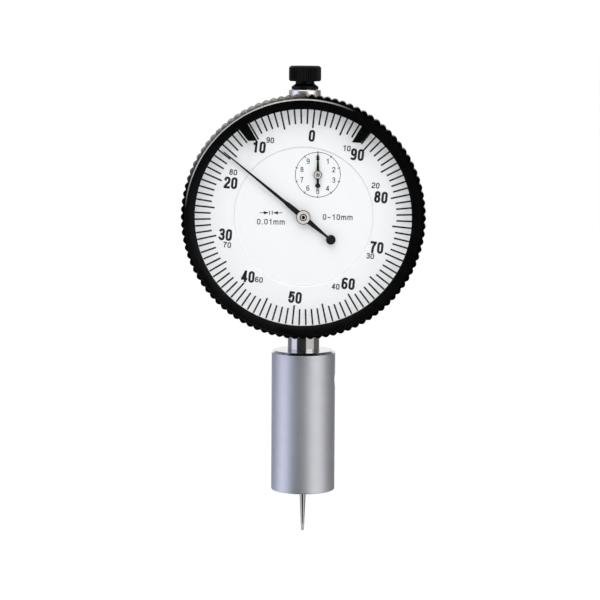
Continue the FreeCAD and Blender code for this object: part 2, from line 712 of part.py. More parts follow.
def pointer():
    blade = hand_blade(
        POINTER_LENGTH, POINTER_ROOT_HALF_WIDTH, POINTER_TIP_HALF_WIDTH, POINTER_TAIL,
        POINTER_TAIL_HALF_WIDTH, POINTER_DISC_RADIUS, POINTER_BORE + SEAT, POINTER_BACK, POINTER_FRONT)
    blade.rotate(ORIGIN, AXIS_Z, POINTER_DEG)
    return stand_up(blade)


def pointer_hub():
    return stand_up(hand_hub(
        POINTER_BORE, POINTER_HUB_RADIUS, POINTER_BACK - POINTER_HUB_SLEEVE_LENGTH, POINTER_FRONT,
        POINTER_FRONT + POINTER_HUB_HEIGHT))


def counter_hand():
    blade = hand_blade(
        COUNTER_LENGTH, COUNTER_ROOT_HALF_WIDTH, COUNTER_TIP_HALF_WIDTH, COUNTER_TAIL,
        COUNTER_TAIL_HALF_WIDTH, COUNTER_DISC_RADIUS, COUNTER_BORE + SEAT, COUNTER_BACK, COUNTER_FRONT)
    blade.translate(at(TAKE_UP[0], TAKE_UP[1], 0))
    return stand_up(blade)


def counter_hand_hub():
    hub = hand_hub(
        COUNTER_BORE, COUNTER_HUB_RADIUS, COUNTER_BACK - COUNTER_HUB_SLEEVE_LENGTH, COUNTER_FRONT,
        COUNTER_FRONT + COUNTER_HUB_HEIGHT)
    hub.translate(at(TAKE_UP[0], TAKE_UP[1], 0))
    return stand_up(hub)


# Movement


def rack_pinion():
    """Drive arbor with the sixteen-leaf pinion that meshes with the rack."""
    half = RACK_PINION_HALF_WIDTH
    shaft = rod(ARBOR_RADIUS, BRIDGE_FRONT - BRIDGE_THICKNESS, FRONT_PLATE_FRONT, DRIVE)
    leaves = toothed_blank(RACK_PINION_TEETH, RACK_PINION_TOOTH, -half, half, DRIVE)
    return stand_up(fused([shaft, leaves]))


def drive_wheel():
    return wheel(DRIVE_WHEEL_TOOTH, DRIVE)


def centre_pinion():
    """Centre arbor with the ten-leaf pinion; its front end carries the pointer."""
    leaves_low = WHEEL_BACK - (CENTRE_PINION_LENGTH - WHEEL_THICKNESS) / 2
    shaft = rod(ARBOR_RADIUS, BACK_PLATE_BACK, POINTER_FRONT + ARBOR_END_REACH)
    leaves = toothed_blank(CENTRE_TEETH, CENTRE_TOOTH, leaves_low, leaves_low + CENTRE_PINION_LENGTH)
    return stand_up(fused([shaft, leaves]))


def take_up_arbor():
    """Arbor of the hairspring wheel; its front end carries the small counter hand."""
    return stand_up(rod(ARBOR_RADIUS, BACK_PLATE_BACK, COUNTER_FRONT + ARBOR_END_REACH, TAKE_UP))


def take_up_wheel():
    return wheel(TAKE_UP_WHEEL_TOOTH, TAKE_UP)


def hairspring_collet():
    low = HAIRSPRING_BACK + HAIRSPRING_HEIGHT / 2 - COLLET_HEIGHT / 2
    return stand_up(tube(COLLET_RADIUS, ARBOR_RADIUS + SEAT, low, low + COLLET_HEIGHT, TAKE_UP))


def hairspring():
    """Flat spiral strip, fixed at the stud, its inner end at the collet."""
    inner = COLLET_RADIUS + MOVING
    growth = (HAIRSPRING_OUTER_RADIUS - inner) / HAIRSPRING_TURNS
    turns = [k / HAIRSPRING_BENDS for k in range(HAIRSPRING_TURNS * HAIRSPRING_BENDS + 1)]
    near = [polar(inner + growth * turn, 2 * math.pi * turn) for turn in turns]
    far = [polar(inner + growth * turn + HAIRSPRING_STRIP, 2 * math.pi * turn) for turn in turns]
    strip = plate_of(near + far[::-1], HAIRSPRING_BACK, HAIRSPRING_BACK + HAIRSPRING_HEIGHT)
    strip.translate(at(TAKE_UP[0], TAKE_UP[1], 0))
    return stand_up(strip)


def hairspring_stud():
    """Post behind the front plate, beside the spring's outer end."""
    reach = HAIRSPRING_OUTER_RADIUS + HAIRSPRING_STRIP + HAIRSPRING_STUD_RADIUS + SEAT
    place = (TAKE_UP[0] + reach, TAKE_UP[1])
    return stand_up(rod(HAIRSPRING_STUD_RADIUS, HAIRSPRING_BACK, FRONT_PLATE_BACK, place))


def movement_plate(radius, low, bearings, room=()):
    """Round plate with a bearing hole for each arbor, and wider room where one passes."""
    plate = rod(radius, low, low + PLATE_THICKNESS)
    holes = [rod(ARBOR_RADIUS + RUNNING, low - 1, low + 2, centre) for centre in bearings]
    holes += [rod(wide, low - 1, low + 2, centre) for wide, centre in room]
    return stand_up(plate.cut(Part.makeCompound(holes)))


def movement_back_plate():
    """Plate on the case's lugs, open where the rack pinion stands through it."""
    pinion_room = RACK_PINION_PITCH_RADIUS + 2 * MODULE
    return movement_plate(
        BACK_PLATE_RADIUS, BACK_PLATE_BACK, (CENTRE, TAKE_UP), [(pinion_room, DRIVE)])


def movement_front_plate():
    return movement_plate(FRONT_PLATE_RADIUS, FRONT_PLATE_BACK, (CENTRE, TAKE_UP, DRIVE))


def plate_pillars():
    """Three pillars that hold the plates apart."""
    pillars = [
        rod(PILLAR_RADIUS, BACK_PLATE_FRONT, FRONT_PLATE_BACK, (c.x, c.y)) for c in pillar_centres()]
    return stand_up(Part.makeCompound(pillars))


def bridge_posts():
    return [
        at(DRIVE[0] - BRIDGE_POST_REACH, DRIVE[1] + side * BRIDGE_POST_RISE, 0) for side in (-1, 1)]


def pinion_bridge():
    """Bridge behind the drive arbor: a plate with a bearing hole, on two posts."""
    low = BRIDGE_FRONT - BRIDGE_THICKNESS
    left = DRIVE[0] - BRIDGE_POST_REACH - BRIDGE_POST_RADIUS - BRIDGE_POST_MARGIN
    right = DRIVE[0] + BRIDGE_EDGE
    plate = plate_of([
        at(left, DRIVE[1] - BRIDGE_HALF_HEIGHT, 0),
        at(right, DRIVE[1] - BRIDGE_HALF_HEIGHT / 2, 0),
        at(right, DRIVE[1] + BRIDGE_HALF_HEIGHT / 2, 0),
        at(left, DRIVE[1] + BRIDGE_HALF_HEIGHT, 0),
    ], low, BRIDGE_FRONT)
    posts = [rod(BRIDGE_POST_RADIUS, BRIDGE_FRONT, BACK_PLATE_BACK, (c.x, c.y)) for c in bridge_posts()]
    bearing = rod(ARBOR_RADIUS + RUNNING, low - 1, BRIDGE_FRONT + 1, DRIVE)
    return stand_up(fused([plate] + posts).cut(bearing))


def guide_bar():
    """Bar behind the back plate with the slot that the guide pin slides in."""
    low = -GUIDE_SLOT_HALF - GUIDE_SLOT_SPARE - GUIDE_BAR_END
    high = SPINDLE_TRAVEL + GUIDE_SLOT_HALF + GUIDE_SLOT_SPARE + GUIDE_BAR_END
    bar = Part.makeBox(GUIDE_BAR_WIDTH, high - low, GUIDE_BAR_DEPTH)
    bar.translate(at(GUIDE_BAR_NEAR, low, BACK_PLATE_BACK - GUIDE_BAR_DEPTH))
    slot = Part.makeBox(GUIDE_BAR_WIDTH + 2, high - low - 2 * GUIDE_BAR_END, 2 * GUIDE_SLOT_HALF)
    slot.translate(at(GUIDE_BAR_NEAR - 1, low + GUIDE_BAR_END, -GUIDE_SLOT_HALF))
    return stand_up(bar.cut(slot))


def spring_post():
    """Post behind the back plate that holds the fixed end of the return spring."""
    place = (SPRING_ACROSS, -SPRING_POST_BELOW)
    return stand_up(rod(SPRING_POST_RADIUS, -SPRING_POST_REACH, BACK_PLATE_BACK, place))


def triangle(a, b, c):
    return Part.Face(Part.makePolygon([a, b, c, a]))


def wire_solid(frames):
    """Solid wire from the four corners of its section at each bend of its run."""
    faces = []
    for here, there in zip(frames, frames[1:]):
        for k in range(4):
            j = (k + 1) % 4
            faces.append(triangle(here[k], there[k], there[j]))
            faces.append(triangle(here[k], there[j], here[j]))
    for ends in (frames[0], frames[-1]):
        faces.append(triangle(ends[0], ends[1], ends[2]))
        faces.append(triangle(ends[0], ends[2], ends[3]))
    return Part.Solid(Part.Shell(faces))


def square_wire(run):
    """Wire of square section along a run of (middle, sideways, upwards) bends."""
    half = SPRING_WIRE / 2
    frames = []
    for middle, sideways, upwards in run:
        frames.append([
            middle - sideways * half - upwards * half,
            middle + sideways * half - upwards * half,
            middle + sideways * half + upwards * half,
            middle - sideways * half + upwards * half])
    return wire_solid(frames)


def eye_radius(pin_radius):
    """Radius of the wire's middle at a hook's bends, so that its straights clear the pin."""
    half_bend = math.radians(SPRING_EYE_DEG) / (SPRING_BENDS - 1) / 2
    return (pin_radius + RUNNING) / math.cos(half_bend) + SPRING_WIRE / 2


def spring_eye(centre, radius, towards, side):
    """Hook bent nearly all the way round a pin; side is the way that the pin points."""
    run = []
    for k in range(SPRING_BENDS):
        angle = math.radians(SPRING_EYE_DEG) * (k / (SPRING_BENDS - 1) - 0.5)
        out = towards * math.cos(angle) + side.cross(towards) * math.sin(angle)
        run.append((centre + out * radius, out, side))
    return square_wire(run)


def return_spring():
    """Tension spring from the post up to the guide pin, with a hook at each end."""
    half = SPRING_WIRE / 2
    low_pin = at(SPRING_ACROSS, 0, DIAL_HEIGHT - SPRING_POST_BELOW)
    high_pin = at(SPRING_ACROSS, 0, DIAL_HEIGHT)
    low_eye = eye_radius(SPRING_POST_RADIUS)
    high_eye = eye_radius(GUIDE_PIN_RADIUS)
    coil_low = low_pin + AXIS_Z * low_eye
    coil_high = high_pin - AXIS_Z * high_eye
    bends = SPRING_TURNS * SPRING_BENDS
    run = []
    for k in range(bends + 1):
        out = polar(1.0, 2 * math.pi * k / SPRING_BENDS)
        middle = coil_low + (coil_high - coil_low) * (k / bends) + out * SPRING_COIL_RADIUS
        run.append((middle, out, AXIS_Z))
    pieces = [square_wire(run)]
    for end in (coil_low, coil_high):
        pieces.append(square_wire([
            (end - AXIS_X * half, AXIS_Y, AXIS_Z), (end + AXIS_X * SPRING_COIL_RADIUS, AXIS_Y, AXIS_Z)]))
    pieces.append(spring_eye(low_pin, low_eye, AXIS_Z, AXIS_Y))
    pieces.append(spring_eye(high_pin, high_eye, AXIS_Z * -1, AXIS_X))
    return pieces[0].multiFuse(pieces[1:])


PIECES = {
    "case": case,
    "back_cover": back_cover,
    "stem": stem,
    "lower_guide_bush": lower_guide_bush,
    "upper_guide_bush": upper_guide_bush,
    "measuring_base": measuring_base,
    "base_clamp_screw": base_clamp_screw,
    "spindle": spindle,
    "contact_needle": contact_needle,
    "lifting_knob": lifting_knob,
    "guide_pin": guide_pin,
    "guide_bar": guide_bar,
    "return_spring": return_spring,
    "spring_post": spring_post,
    "movement_back_plate": movement_back_plate,
    "movement_front_plate": movement_front_plate,
    "plate_pillars": plate_pillars,
    "pinion_bridge": pinion_bridge,
    "rack_pinion": rack_pinion,
    "drive_wheel": drive_wheel,
    "centre_pinion": centre_pinion,
    "pointer": pointer,
    "pointer_hub": pointer_hub,
    "take_up_arbor": take_up_arbor,
    "take_up_wheel": take_up_wheel,
    "hairspring_collet": hairspring_collet,
    "hairspring": hairspring,
    "hairspring_stud": hairspring_stud,
    "counter_hand": counter_hand,
    "counter_hand_hub": counter_hand_hub,
    "dial_disc": dial_disc,
    "scale_ring": scale_ring,
    "glass_spacer": glass_spacer,
    "glass": glass,
    "bezel": bezel,
    "limit_marker_left": lambda: limit_marker(MARKER_LEFT_DEG),
    "limit_marker_right": lambda: limit_marker(MARKER_RIGHT_DEG),
}

os.makedirs("parts", exist_ok=True)
for node, make in PIECES.items():
    make().exportStep(os.path.join("parts", node + ".step"))
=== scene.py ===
import math

import bpy
import numpy as np
from mathutils import Matrix, Vector


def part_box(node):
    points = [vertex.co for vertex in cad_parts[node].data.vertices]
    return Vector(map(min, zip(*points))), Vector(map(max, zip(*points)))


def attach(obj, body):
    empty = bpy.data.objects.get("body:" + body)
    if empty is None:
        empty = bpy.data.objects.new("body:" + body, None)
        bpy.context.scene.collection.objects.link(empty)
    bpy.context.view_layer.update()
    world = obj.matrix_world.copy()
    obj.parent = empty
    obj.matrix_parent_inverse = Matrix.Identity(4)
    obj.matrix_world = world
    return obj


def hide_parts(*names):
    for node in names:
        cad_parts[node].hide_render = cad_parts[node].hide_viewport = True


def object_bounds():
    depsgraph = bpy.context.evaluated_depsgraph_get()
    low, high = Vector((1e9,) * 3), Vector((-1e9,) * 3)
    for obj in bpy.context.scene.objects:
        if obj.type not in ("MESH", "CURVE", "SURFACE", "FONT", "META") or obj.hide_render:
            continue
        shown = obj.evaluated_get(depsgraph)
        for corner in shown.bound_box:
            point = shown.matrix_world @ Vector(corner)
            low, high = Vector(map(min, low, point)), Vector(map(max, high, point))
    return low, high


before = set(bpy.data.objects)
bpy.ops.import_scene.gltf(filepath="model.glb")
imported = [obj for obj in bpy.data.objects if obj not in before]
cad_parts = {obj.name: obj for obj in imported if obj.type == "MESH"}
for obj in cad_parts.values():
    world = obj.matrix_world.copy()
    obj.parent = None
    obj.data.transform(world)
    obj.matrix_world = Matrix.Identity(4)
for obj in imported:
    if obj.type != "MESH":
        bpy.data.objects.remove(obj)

bl_info = {
    "name": "Dial Depth Gauge",
    "version": (1, 0, 0),
    "blender": (4, 5, 0),
    "location": "View3D > Sidebar > Gauge",
    "description": "Dresses a dial depth gauge: turned metal, serrated bezel, printed dial, hands, studio",
    "category": "Object",
}

# Places are in the gauge's own frame, in metres: +Z up the spindle, the dial facing -Y.
# Dial pieces are worked out in a dial frame, x right, y up, z forward, with the dial's centre
# at its origin, and are then stood up by dialwise().
TURN = 2 * math.pi
MM = 0.001
CAD_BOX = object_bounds()

# Fillet of an ordinary and of a fine edge, and the gap between two pieces that fit
EDGE = 0.1 * MM
FINE_EDGE = 0.05 * MM
CLEARANCE = 0.02 * MM

# Two faces that meet at more than this stay sharp between them
CREASE = math.radians(32.0)

# A row of a turned piece nearer to the axis than this shrinks to one point
AXIS_LIMIT = 1e-9


def span(node):
    """Lowest and highest corner of a node as arrays."""
    low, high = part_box(node)
    return np.array(low), np.array(high)


def middle(node):
    """Point halfway between a node's lowest and highest corner."""
    low, high = span(node)
    return (low + high) / 2


def front(node):
    """How far forward of the spindle axis a dial piece's face stands."""
    return float(-span(node)[0][1])


def back(node):
    """How far forward of the spindle axis a dial piece's rear stands."""
    return float(-span(node)[1][1])


def reach(node):
    """Half the width of a node."""
    low, high = span(node)
    return float(high[0] - low[0]) / 2


# Height of the dial's centre, and the counter hand's arbor from that centre
DIAL_HEIGHT = float(middle("glass")[2])
COUNTER = (float(middle("take_up_arbor")[0]), float(middle("take_up_arbor")[2]) - DIAL_HEIGHT)


# Sizes and colours that a user would change


def length(name, description, default):
    """Length in metres."""
    return bpy.props.FloatProperty(
        name=name, description=description, default=default, subtype="DISTANCE", unit="LENGTH", precision=5)


def angle(name, description, degrees):
    """Angle whose default is given in degrees."""
    return bpy.props.FloatProperty(
        name=name, description=description, default=math.radians(degrees), subtype="ANGLE", unit="ROTATION")


def count(name, description, default):
    """Number of like things, at least one."""
    return bpy.props.IntProperty(name=name, description=description, default=default, min=1)


def colour(name, description, default):
    """Colour of three parts from 0 to 1."""
    return bpy.props.FloatVectorProperty(
        name=name, description=description, default=default, subtype="COLOR", size=3, min=0.0, max=1.0)


class GaugeSizes(bpy.types.PropertyGroup):
    """Sizes of the ridges, the print and the screws"""

    ridges: count("Bezel ridges", "Grip ridges round the bezel", 96)
    ridge_depth: length("Ridge depth", "Height of a grip ridge above its valley", 0.5 * MM)
    knurl_ridges: count("Knurl ridges", "Ridges round the lifting knob", 40)
    knurl_depth: length("Knurl depth", "Depth of the lifting knob's knurl", 0.2 * MM)
    scale_turn: angle("Scale turn", "Turn of the bezel's scale, clockwise from upright", 5.6)
    divisions: count("Divisions", "Divisions round the scale", 100)
    division_width: length("Division width", "Width of a printed division", 0.41 * MM)
    division_end: length("Division end", "Radius where the short divisions end", 22.8 * MM)
    long_division_end: length("Long division end", "Radius where every fifth division ends", 21.9 * MM)
    figure_height: length("Figure height", "Height of the scale's large figures", 2.9 * MM)
    small_figure_height: length("Small figure height", "Height of the scale's second figures", 1.4 * MM)
    counter_circle: length("Counter circle", "Radius of the small dial's circle", 5.5 * MM)
    counter_figures: length("Counter figures", "Radius of the small dial's figures", 4.1 * MM)
    legend_height: length("Legend height", "Height of the printed legends", 1.4 * MM)
    dial_gap: length("Dial gap", "Gap between the inner dial and the scale ring", 0.1 * MM)
    print_height: length("Print thickness", "How far printed marks stand on the dial", 0.012 * MM)
    screw_circle: length("Cover screw circle", "Radius of the circle of the cover's screws", 23.35 * MM)
    screw_head: length("Cover screw head", "Radius of a cover screw's head", 1.9 * MM)


class GaugeColours(bpy.types.PropertyGroup):
    """Colours of the metals, the dial and its print"""

    base: colour("Base", "Satin metal of the measuring base", (0.68, 0.69, 0.73))
    chrome: colour("Chrome", "Polished stem and needle", (0.56, 0.54, 0.53))
    case: colour("Case", "Satin metal of the case", (0.52, 0.53, 0.55))
    black: colour("Black", "Black finish of bezel and knob", (0.0018, 0.0018, 0.002))
    dial: colour("Dial", "White enamel of the dial", (0.93, 0.932, 0.938))
    ink: colour("Ink", "Printed marks", (0.002, 0.002, 0.0022))
    brass: colour("Brass", "Movement plates and wheels", (0.70, 0.50, 0.22))
    steel: colour("Steel", "Arbors, springs and screws", (0.55, 0.55, 0.56))


# Surfaces


def upright(points):
    """Leave points as they are, for pieces turned about the spindle axis."""
    return points


def dialwise(points):
    """Carry dial-frame points (x right, y up, z forward) to the gauge's frame."""
    return np.stack([points[:, 0], -points[:, 2], points[:, 1] + DIAL_HEIGHT], axis=-1)


def lying(start, height):
    """Carry that lays the z axis along +X, from a start and at a height."""
    def carry(points):
        """(x, y, z) goes to (start + z, y, height - x)."""
        return np.stack([points[:, 2] + start, points[:, 1], height - points[:, 0]], axis=-1)

    return carry


def on_circle(radius, turn):
    """Points (radius cos turn, radius sin turn)."""
    return radius * np.stack([np.cos(turn), np.sin(turn)], axis=-1)


def mesh_piece(name, points, faces):
    """Object from points and arrays of faces; points that no face uses are dropped."""
    corners = np.concatenate([group.ravel() for group in faces])
    used, renumbered = np.unique(corners, return_inverse=True)
    polygons = []
    start = 0
    for group in faces:
        stop = start + group.size
        polygons += renumbered[start:stop].reshape(group.shape).tolist()
        start = stop
    mesh = bpy.data.meshes.new(name)
    mesh.from_pydata(points[used].tolist(), [], polygons)
    mesh.shade_smooth()
    mesh.set_sharp_from_angle(angle=CREASE)
    piece = bpy.data.objects.new(name, mesh)
    bpy.context.scene.collection.objects.link(piece)
    return piece


def rounded(corners, steps):
    """Outline through (radius, height, fillet) corners, each fillet an arc tangent to both sides.

    The arc's centre lies on the corner's bisector at fillet / sin(half the corner's angle).
    """
    outline = []
    for k, (radius, height, fillet) in enumerate(corners):
        here = np.array([radius, height])
        if fillet == 0:
            outline.append(here[None])
            continue
        behind = np.array(corners[k - 1][:2]) - here
        ahead = np.array(corners[(k + 1) % len(corners)][:2]) - here
        behind /= np.linalg.norm(behind)
        ahead /= np.linalg.norm(ahead)
        half = 0.5 * math.acos(float(behind @ ahead))
        bisector = (behind + ahead) / np.linalg.norm(behind + ahead)
        centre = here + bisector * fillet / math.sin(half)
        first = here + behind * fillet / math.tan(half) - centre
        last = here + ahead * fillet / math.tan(half) - centre
        begin = math.atan2(first[1], first[0])
        sweep = (math.atan2(last[1], last[0]) - begin + math.pi) % TURN - math.pi
        outline.append(centre + on_circle(fillet, begin + sweep * np.linspace(0, 1, steps + 1)))
    return np.concatenate(outline)


def revolved(outline, segments, ripple=None):
    """Surface of revolution, point(s, a) = ((r + ripple) cos a, (r + ripple) sin a, h).

    The closed outline (r, h) runs counter-clockwise round the section, so faces point
    outwards. A row on the axis shrinks to one point, and what would lie between two such
    rows is left out.
    """
    around = np.linspace(0, TURN, segments, endpoint=False)[None, :]
    radius = np.repeat(outline[:, :1], segments, axis=1)
    if ripple is not None:
        radius = radius + ripple(outline, around)
    height = np.repeat(outline[:, 1:], segments, axis=1)
    grid = np.stack([radius * np.cos(around), radius * np.sin(around), height], axis=-1)
    number = np.arange(len(outline) * segments).reshape(-1, segments)
    on_axis = outline[:, 0] < AXIS_LIMIT
    number[on_axis] = number[on_axis][:, :1]
    above = np.roll(number, -1, axis=0)
    quads = np.stack([number, np.roll(number, -1, 1), np.roll(above, -1, 1), above], axis=-1).reshape(-1, 4)
    from_axis = quads[:, 0] == quads[:, 1]
    to_axis = quads[:, 2] == quads[:, 3]
    faces = [
        quads[~from_axis & ~to_axis],
        quads[from_axis & ~to_axis][:, [0, 2, 3]],
        quads[to_axis & ~from_axis][:, :3],
    ]
    return grid.reshape(-1, 3), [group for group in faces if len(group)]


def turned_piece(name, corners, carry=upright, centre=(0.0, 0.0), segments=192, ripple=None, steps=5):
    """Turned piece from (radius, height, fillet) corners about an axis through centre."""
    points, faces = revolved(rounded(corners, steps), segments, ripple)
    return mesh_piece(name, carry(points + np.array([*centre, 0.0])), faces)


def disc(name, radius, low, high, carry, fillets=(0.0, 0.0), centre=(0.0, 0.0), segments=64):
    """Solid disc between two heights, with a fillet for its lower and one for its upper edge."""
    return turned_piece(name, [
        (0.0, low, 0.0),
        (radius, low, fillets[0]),
        (radius, high, fillets[1]),
        (0.0, high, 0.0),
    ], carry=carry, centre=centre, segments=segments)


def prism(outline, low, high):
    """Block between two heights on one flat outline, which runs counter-clockwise."""
    n = len(outline)
    ring = np.arange(n)
    points = np.concatenate([np.column_stack([outline, np.full(n, height)]) for height in (low, high)])
    sides = np.stack([ring, np.roll(ring, -1), np.roll(ring, -1) + n, ring + n], axis=-1)
    return points, [sides, ring[None, ::-1], ring[None] + n]


def blocks(quads, low, high):
    """Thin blocks between two heights on four-cornered outlines, an array of (n, 4, 2)."""
    n = len(quads)
    floor = np.concatenate([quads, np.full((n, 4, 1), low)], axis=-1)
    roof = np.concatenate([quads, np.full((n, 4, 1), high)], axis=-1)
    points = np.concatenate([floor, roof], axis=1).reshape(-1, 3)
    block = np.array([[3, 2, 1, 0], [4, 5, 6, 7], [0, 1, 5, 4], [1, 2, 6, 5], [2, 3, 7, 6], [3, 0, 4, 7]])
    return points, [(block[None] + 8 * np.arange(n)[:, None, None]).reshape(-1, 4)]


def radial_bars(turns, inner, outer, width, low, high, centre=(0.0, 0.0)):
    """Bars along radii: corner = centre + u * radius +- v * width / 2, u along and v across."""
    along = on_circle(1.0, turns)
    across = np.stack([-along[:, 1], along[:, 0]], axis=-1) * width / 2
    near = along * np.broadcast_to(inner, turns.shape)[:, None]
    far = along * np.broadcast_to(outer, turns.shape)[:, None]
    quads = np.stack([near - across, far - across, far + across, near + across], axis=1)
    return blocks(quads + np.array(centre), low, high)


def joined(parts):
    """One set of points and faces from several."""
    points = []
    faces = []
    first = 0
    for part_points, part_faces in parts:
        points.append(part_points)
        faces += [group + first for group in part_faces]
        first += len(part_points)
    return np.concatenate(points), faces


# Middle lines of the printed figures in a unit cell, each a list of guiding points that a
# quadratic spline follows; a True in front closes the line into a loop.
STROKES = {
    "0": ((True, (1, 1), (1, 0.5), (1, 0), (0, 0), (0, 0.5), (0, 1)),),
    "1": ((False, (0.66, 0), (0.66, 1)), (False, (0.66, 0.94), (0.56, 0.8), (0.2, 0.8))),
    "2": (
        (False, (0.02, 0.8), (0, 1), (1, 1), (1, 0.55), (0.4, 0.35), (0, 0.06)),
        (False, (0, 0), (1, 0))),
    "3": (
        (False, (0.08, 0.9), (0.3, 1.03), (0.95, 1), (0.95, 0.53), (0.45, 0.53)),
        (False, (0.45, 0.53), (1, 0.53), (1, 0), (0.3, -0.03), (0.04, 0.11))),
    "4": ((False, (0.75, 0), (0.75, 1)), (False, (0.68, 0.95), (0, 0.27)), (False, (0, 0.23), (1, 0.23))),
    "5": (
        (False, (0.92, 1), (0.16, 1)),
        (False, (0.16, 1), (0.04, 0.5)),
        (False, (0.04, 0.5), (0.2, 0.64), (1, 0.76), (1, 0), (0.08, 0), (0.02, 0.18))),
    "6": (
        (False, (0.9, 0.97), (0.5, 1.04), (0, 0.9), (0, 0.5), (0, 0.3)),
        (True, (1, 0.57), (1, 0), (0, 0), (0, 0.57))),
    "7": ((False, (0, 1), (1, 1)), (False, (0.97, 0.95), (0.5, 0.6), (0.4, 0.25), (0.36, 0))),
    "8": (
        (True, (0.93, 1), (0.93, 0.54), (0.07, 0.54), (0.07, 1)),
        (True, (1, 0.54), (1, 0), (0, 0), (0, 0.54))),
    "9": (
        (False, (0.1, 0.03), (0.5, -0.04), (1, 0.1), (1, 0.5), (1, 0.7)),
        (True, (1, 1), (1, 0.43), (0, 0.43), (0, 1))),
    "m": (
        (False, (0, 0), (0, 0.68)),
        (False, (0, 0.4), (0, 0.7), (0.5, 0.7), (0.5, 0.4), (0.5, 0)),
        (False, (0.5, 0.4), (0.5, 0.7), (1, 0.7), (1, 0.4), (1, 0))),
    ".": ((False, (0.5, 0), (0.5, 0.04)),),
    "-": ((False, (0.1, 0.42), (0.9, 0.42)),),
}
CELL_WIDTHS = {"m": 1.5, ".": 0.45}

# Width of a figure, its stroke and the gap to the next one, as shares of its height
LARGE_FIGURES = (0.52, 0.2, 0.08)
SMALL_FIGURES = (0.62, 0.18, 0.12)
LEGENDS = (0.60, 0.155, 0.2)
COUNTER_FIGURES = (0.75 / 1.3, 0.19 / 1.3, 0.0)


def spline(guides, closed, steps=6):
    """Quadratic spline: between the middles a and c of two sides that meet at b it follows
    (1 - t)^2 a + 2 t (1 - t) b + t^2 c; an open line starts and ends on its end points."""
    b = np.array(guides, dtype=float)
    if closed:
        a = (np.roll(b, 1, axis=0) + b) / 2
        c = (b + np.roll(b, -1, axis=0)) / 2
    elif len(b) == 2:
        return b
    else:
        middles = (b[1:-2] + b[2:-1]) / 2
        a = np.concatenate([b[:1], middles])
        c = np.concatenate([middles, b[-1:]])
        b = b[1:-1]
    t = np.linspace(0, 1, steps, endpoint=False)[None, :, None]
    line = ((1 - t) ** 2 * a[:, None] + 2 * t * (1 - t) * b[:, None] + t ** 2 * c[:, None]).reshape(-1, 2)
    return line if closed else np.concatenate([line, c[-1:]])


def ribbon(line, closed, width, low, high):
    """Flat ribbon of a width along a line: corner = point +- across * width / 2, ends squared off."""
    if closed:
        along = np.roll(line, -1, axis=0) - np.roll(line, 1, axis=0)
    else:
        along = np.gradient(line, axis=0)
    along /= np.linalg.norm(along, axis=1)[:, None]
    if not closed:
        line = line.copy()
        line[0] -= along[0] * width / 2
        line[-1] += along[-1] * width / 2
    across = np.stack([-along[:, 1], along[:, 0]], axis=-1) * width / 2
    right = line - across
    left = line + across
    if closed:
        quads = np.stack([right, np.roll(right, -1, 0), np.roll(left, -1, 0), left], axis=1)
    else:
        quads = np.stack([right[:-1], right[1:], left[1:], left[:-1]], axis=1)
    return blocks(quads, low, high)


def lettering(words, tall, shares, low, high):
    """Printed words between two heights, the middle of their outline at the origin."""
    width, stroke, gap = tall * np.array(shares)
    cells = [width * CELL_WIDTHS.get(sign, 1.0) for sign in words]
    left = -(sum(cells) + gap * (len(words) - 1)) / 2
    parts = []
    for sign, cell in zip(words, cells):
        for closed, *guides in STROKES[sign]:
            line = spline(guides, closed) * np.array([cell - stroke, tall - stroke])
            line = line + np.array([left + stroke / 2, (stroke - tall) / 2])
            parts.append(ribbon(line, closed, stroke, low, high))
        left += cell + gap
    return joined(parts)


def placed(shape, centre, turn=0.0):
    """Turn a flat shape counter-clockwise and put its middle at centre."""
    points, faces = shape
    c = math.cos(turn)
    s = math.sin(turn)
    return points @ np.array([[c, s, 0], [-s, c, 0], [0, 0, 1]]) + np.array([*centre, 0]), faces


def carve(piece, *cutters):
    """Cut the cutters out of a piece and keep the result in its mesh."""
    for cutter in cutters:
        step = piece.modifiers.new("carve", "BOOLEAN")
        step.operation = "DIFFERENCE"
        step.solver = "EXACT"
        step.object = cutter
    bpy.context.view_layer.update()
    made = bpy.data.meshes.new_from_object(piece.evaluated_get(bpy.context.evaluated_depsgraph_get()))
    piece.modifiers.clear()
    piece.data = made
    made.set_sharp_from_angle(angle=CREASE)
    for cutter in cutters:
        bpy.data.objects.remove(cutter)


# Finishes

# Noise mostly lies between these two values
NOISE_LOW = 0.3
NOISE_HIGH = 0.7


def emptied(owner):
    """Node tree of a material or a world, without its first nodes."""
    owner.use_nodes = True
    owner.node_tree.nodes.clear()
    return owner.node_tree


def add_node(tree, kind, operation=None, **values):
    """New node of a kind, with its operation and the values of its inputs by name."""
    made = tree.nodes.new(kind)
    if operation is not None:
        made.operation = operation
    for name, value in values.items():
        made.inputs[name.replace("_", " ")].default_value = value
    return made


def shade(tone, factor):
    """A tone made darker or lighter."""
    return tuple(min(1.0, channel * factor) for channel in tone)


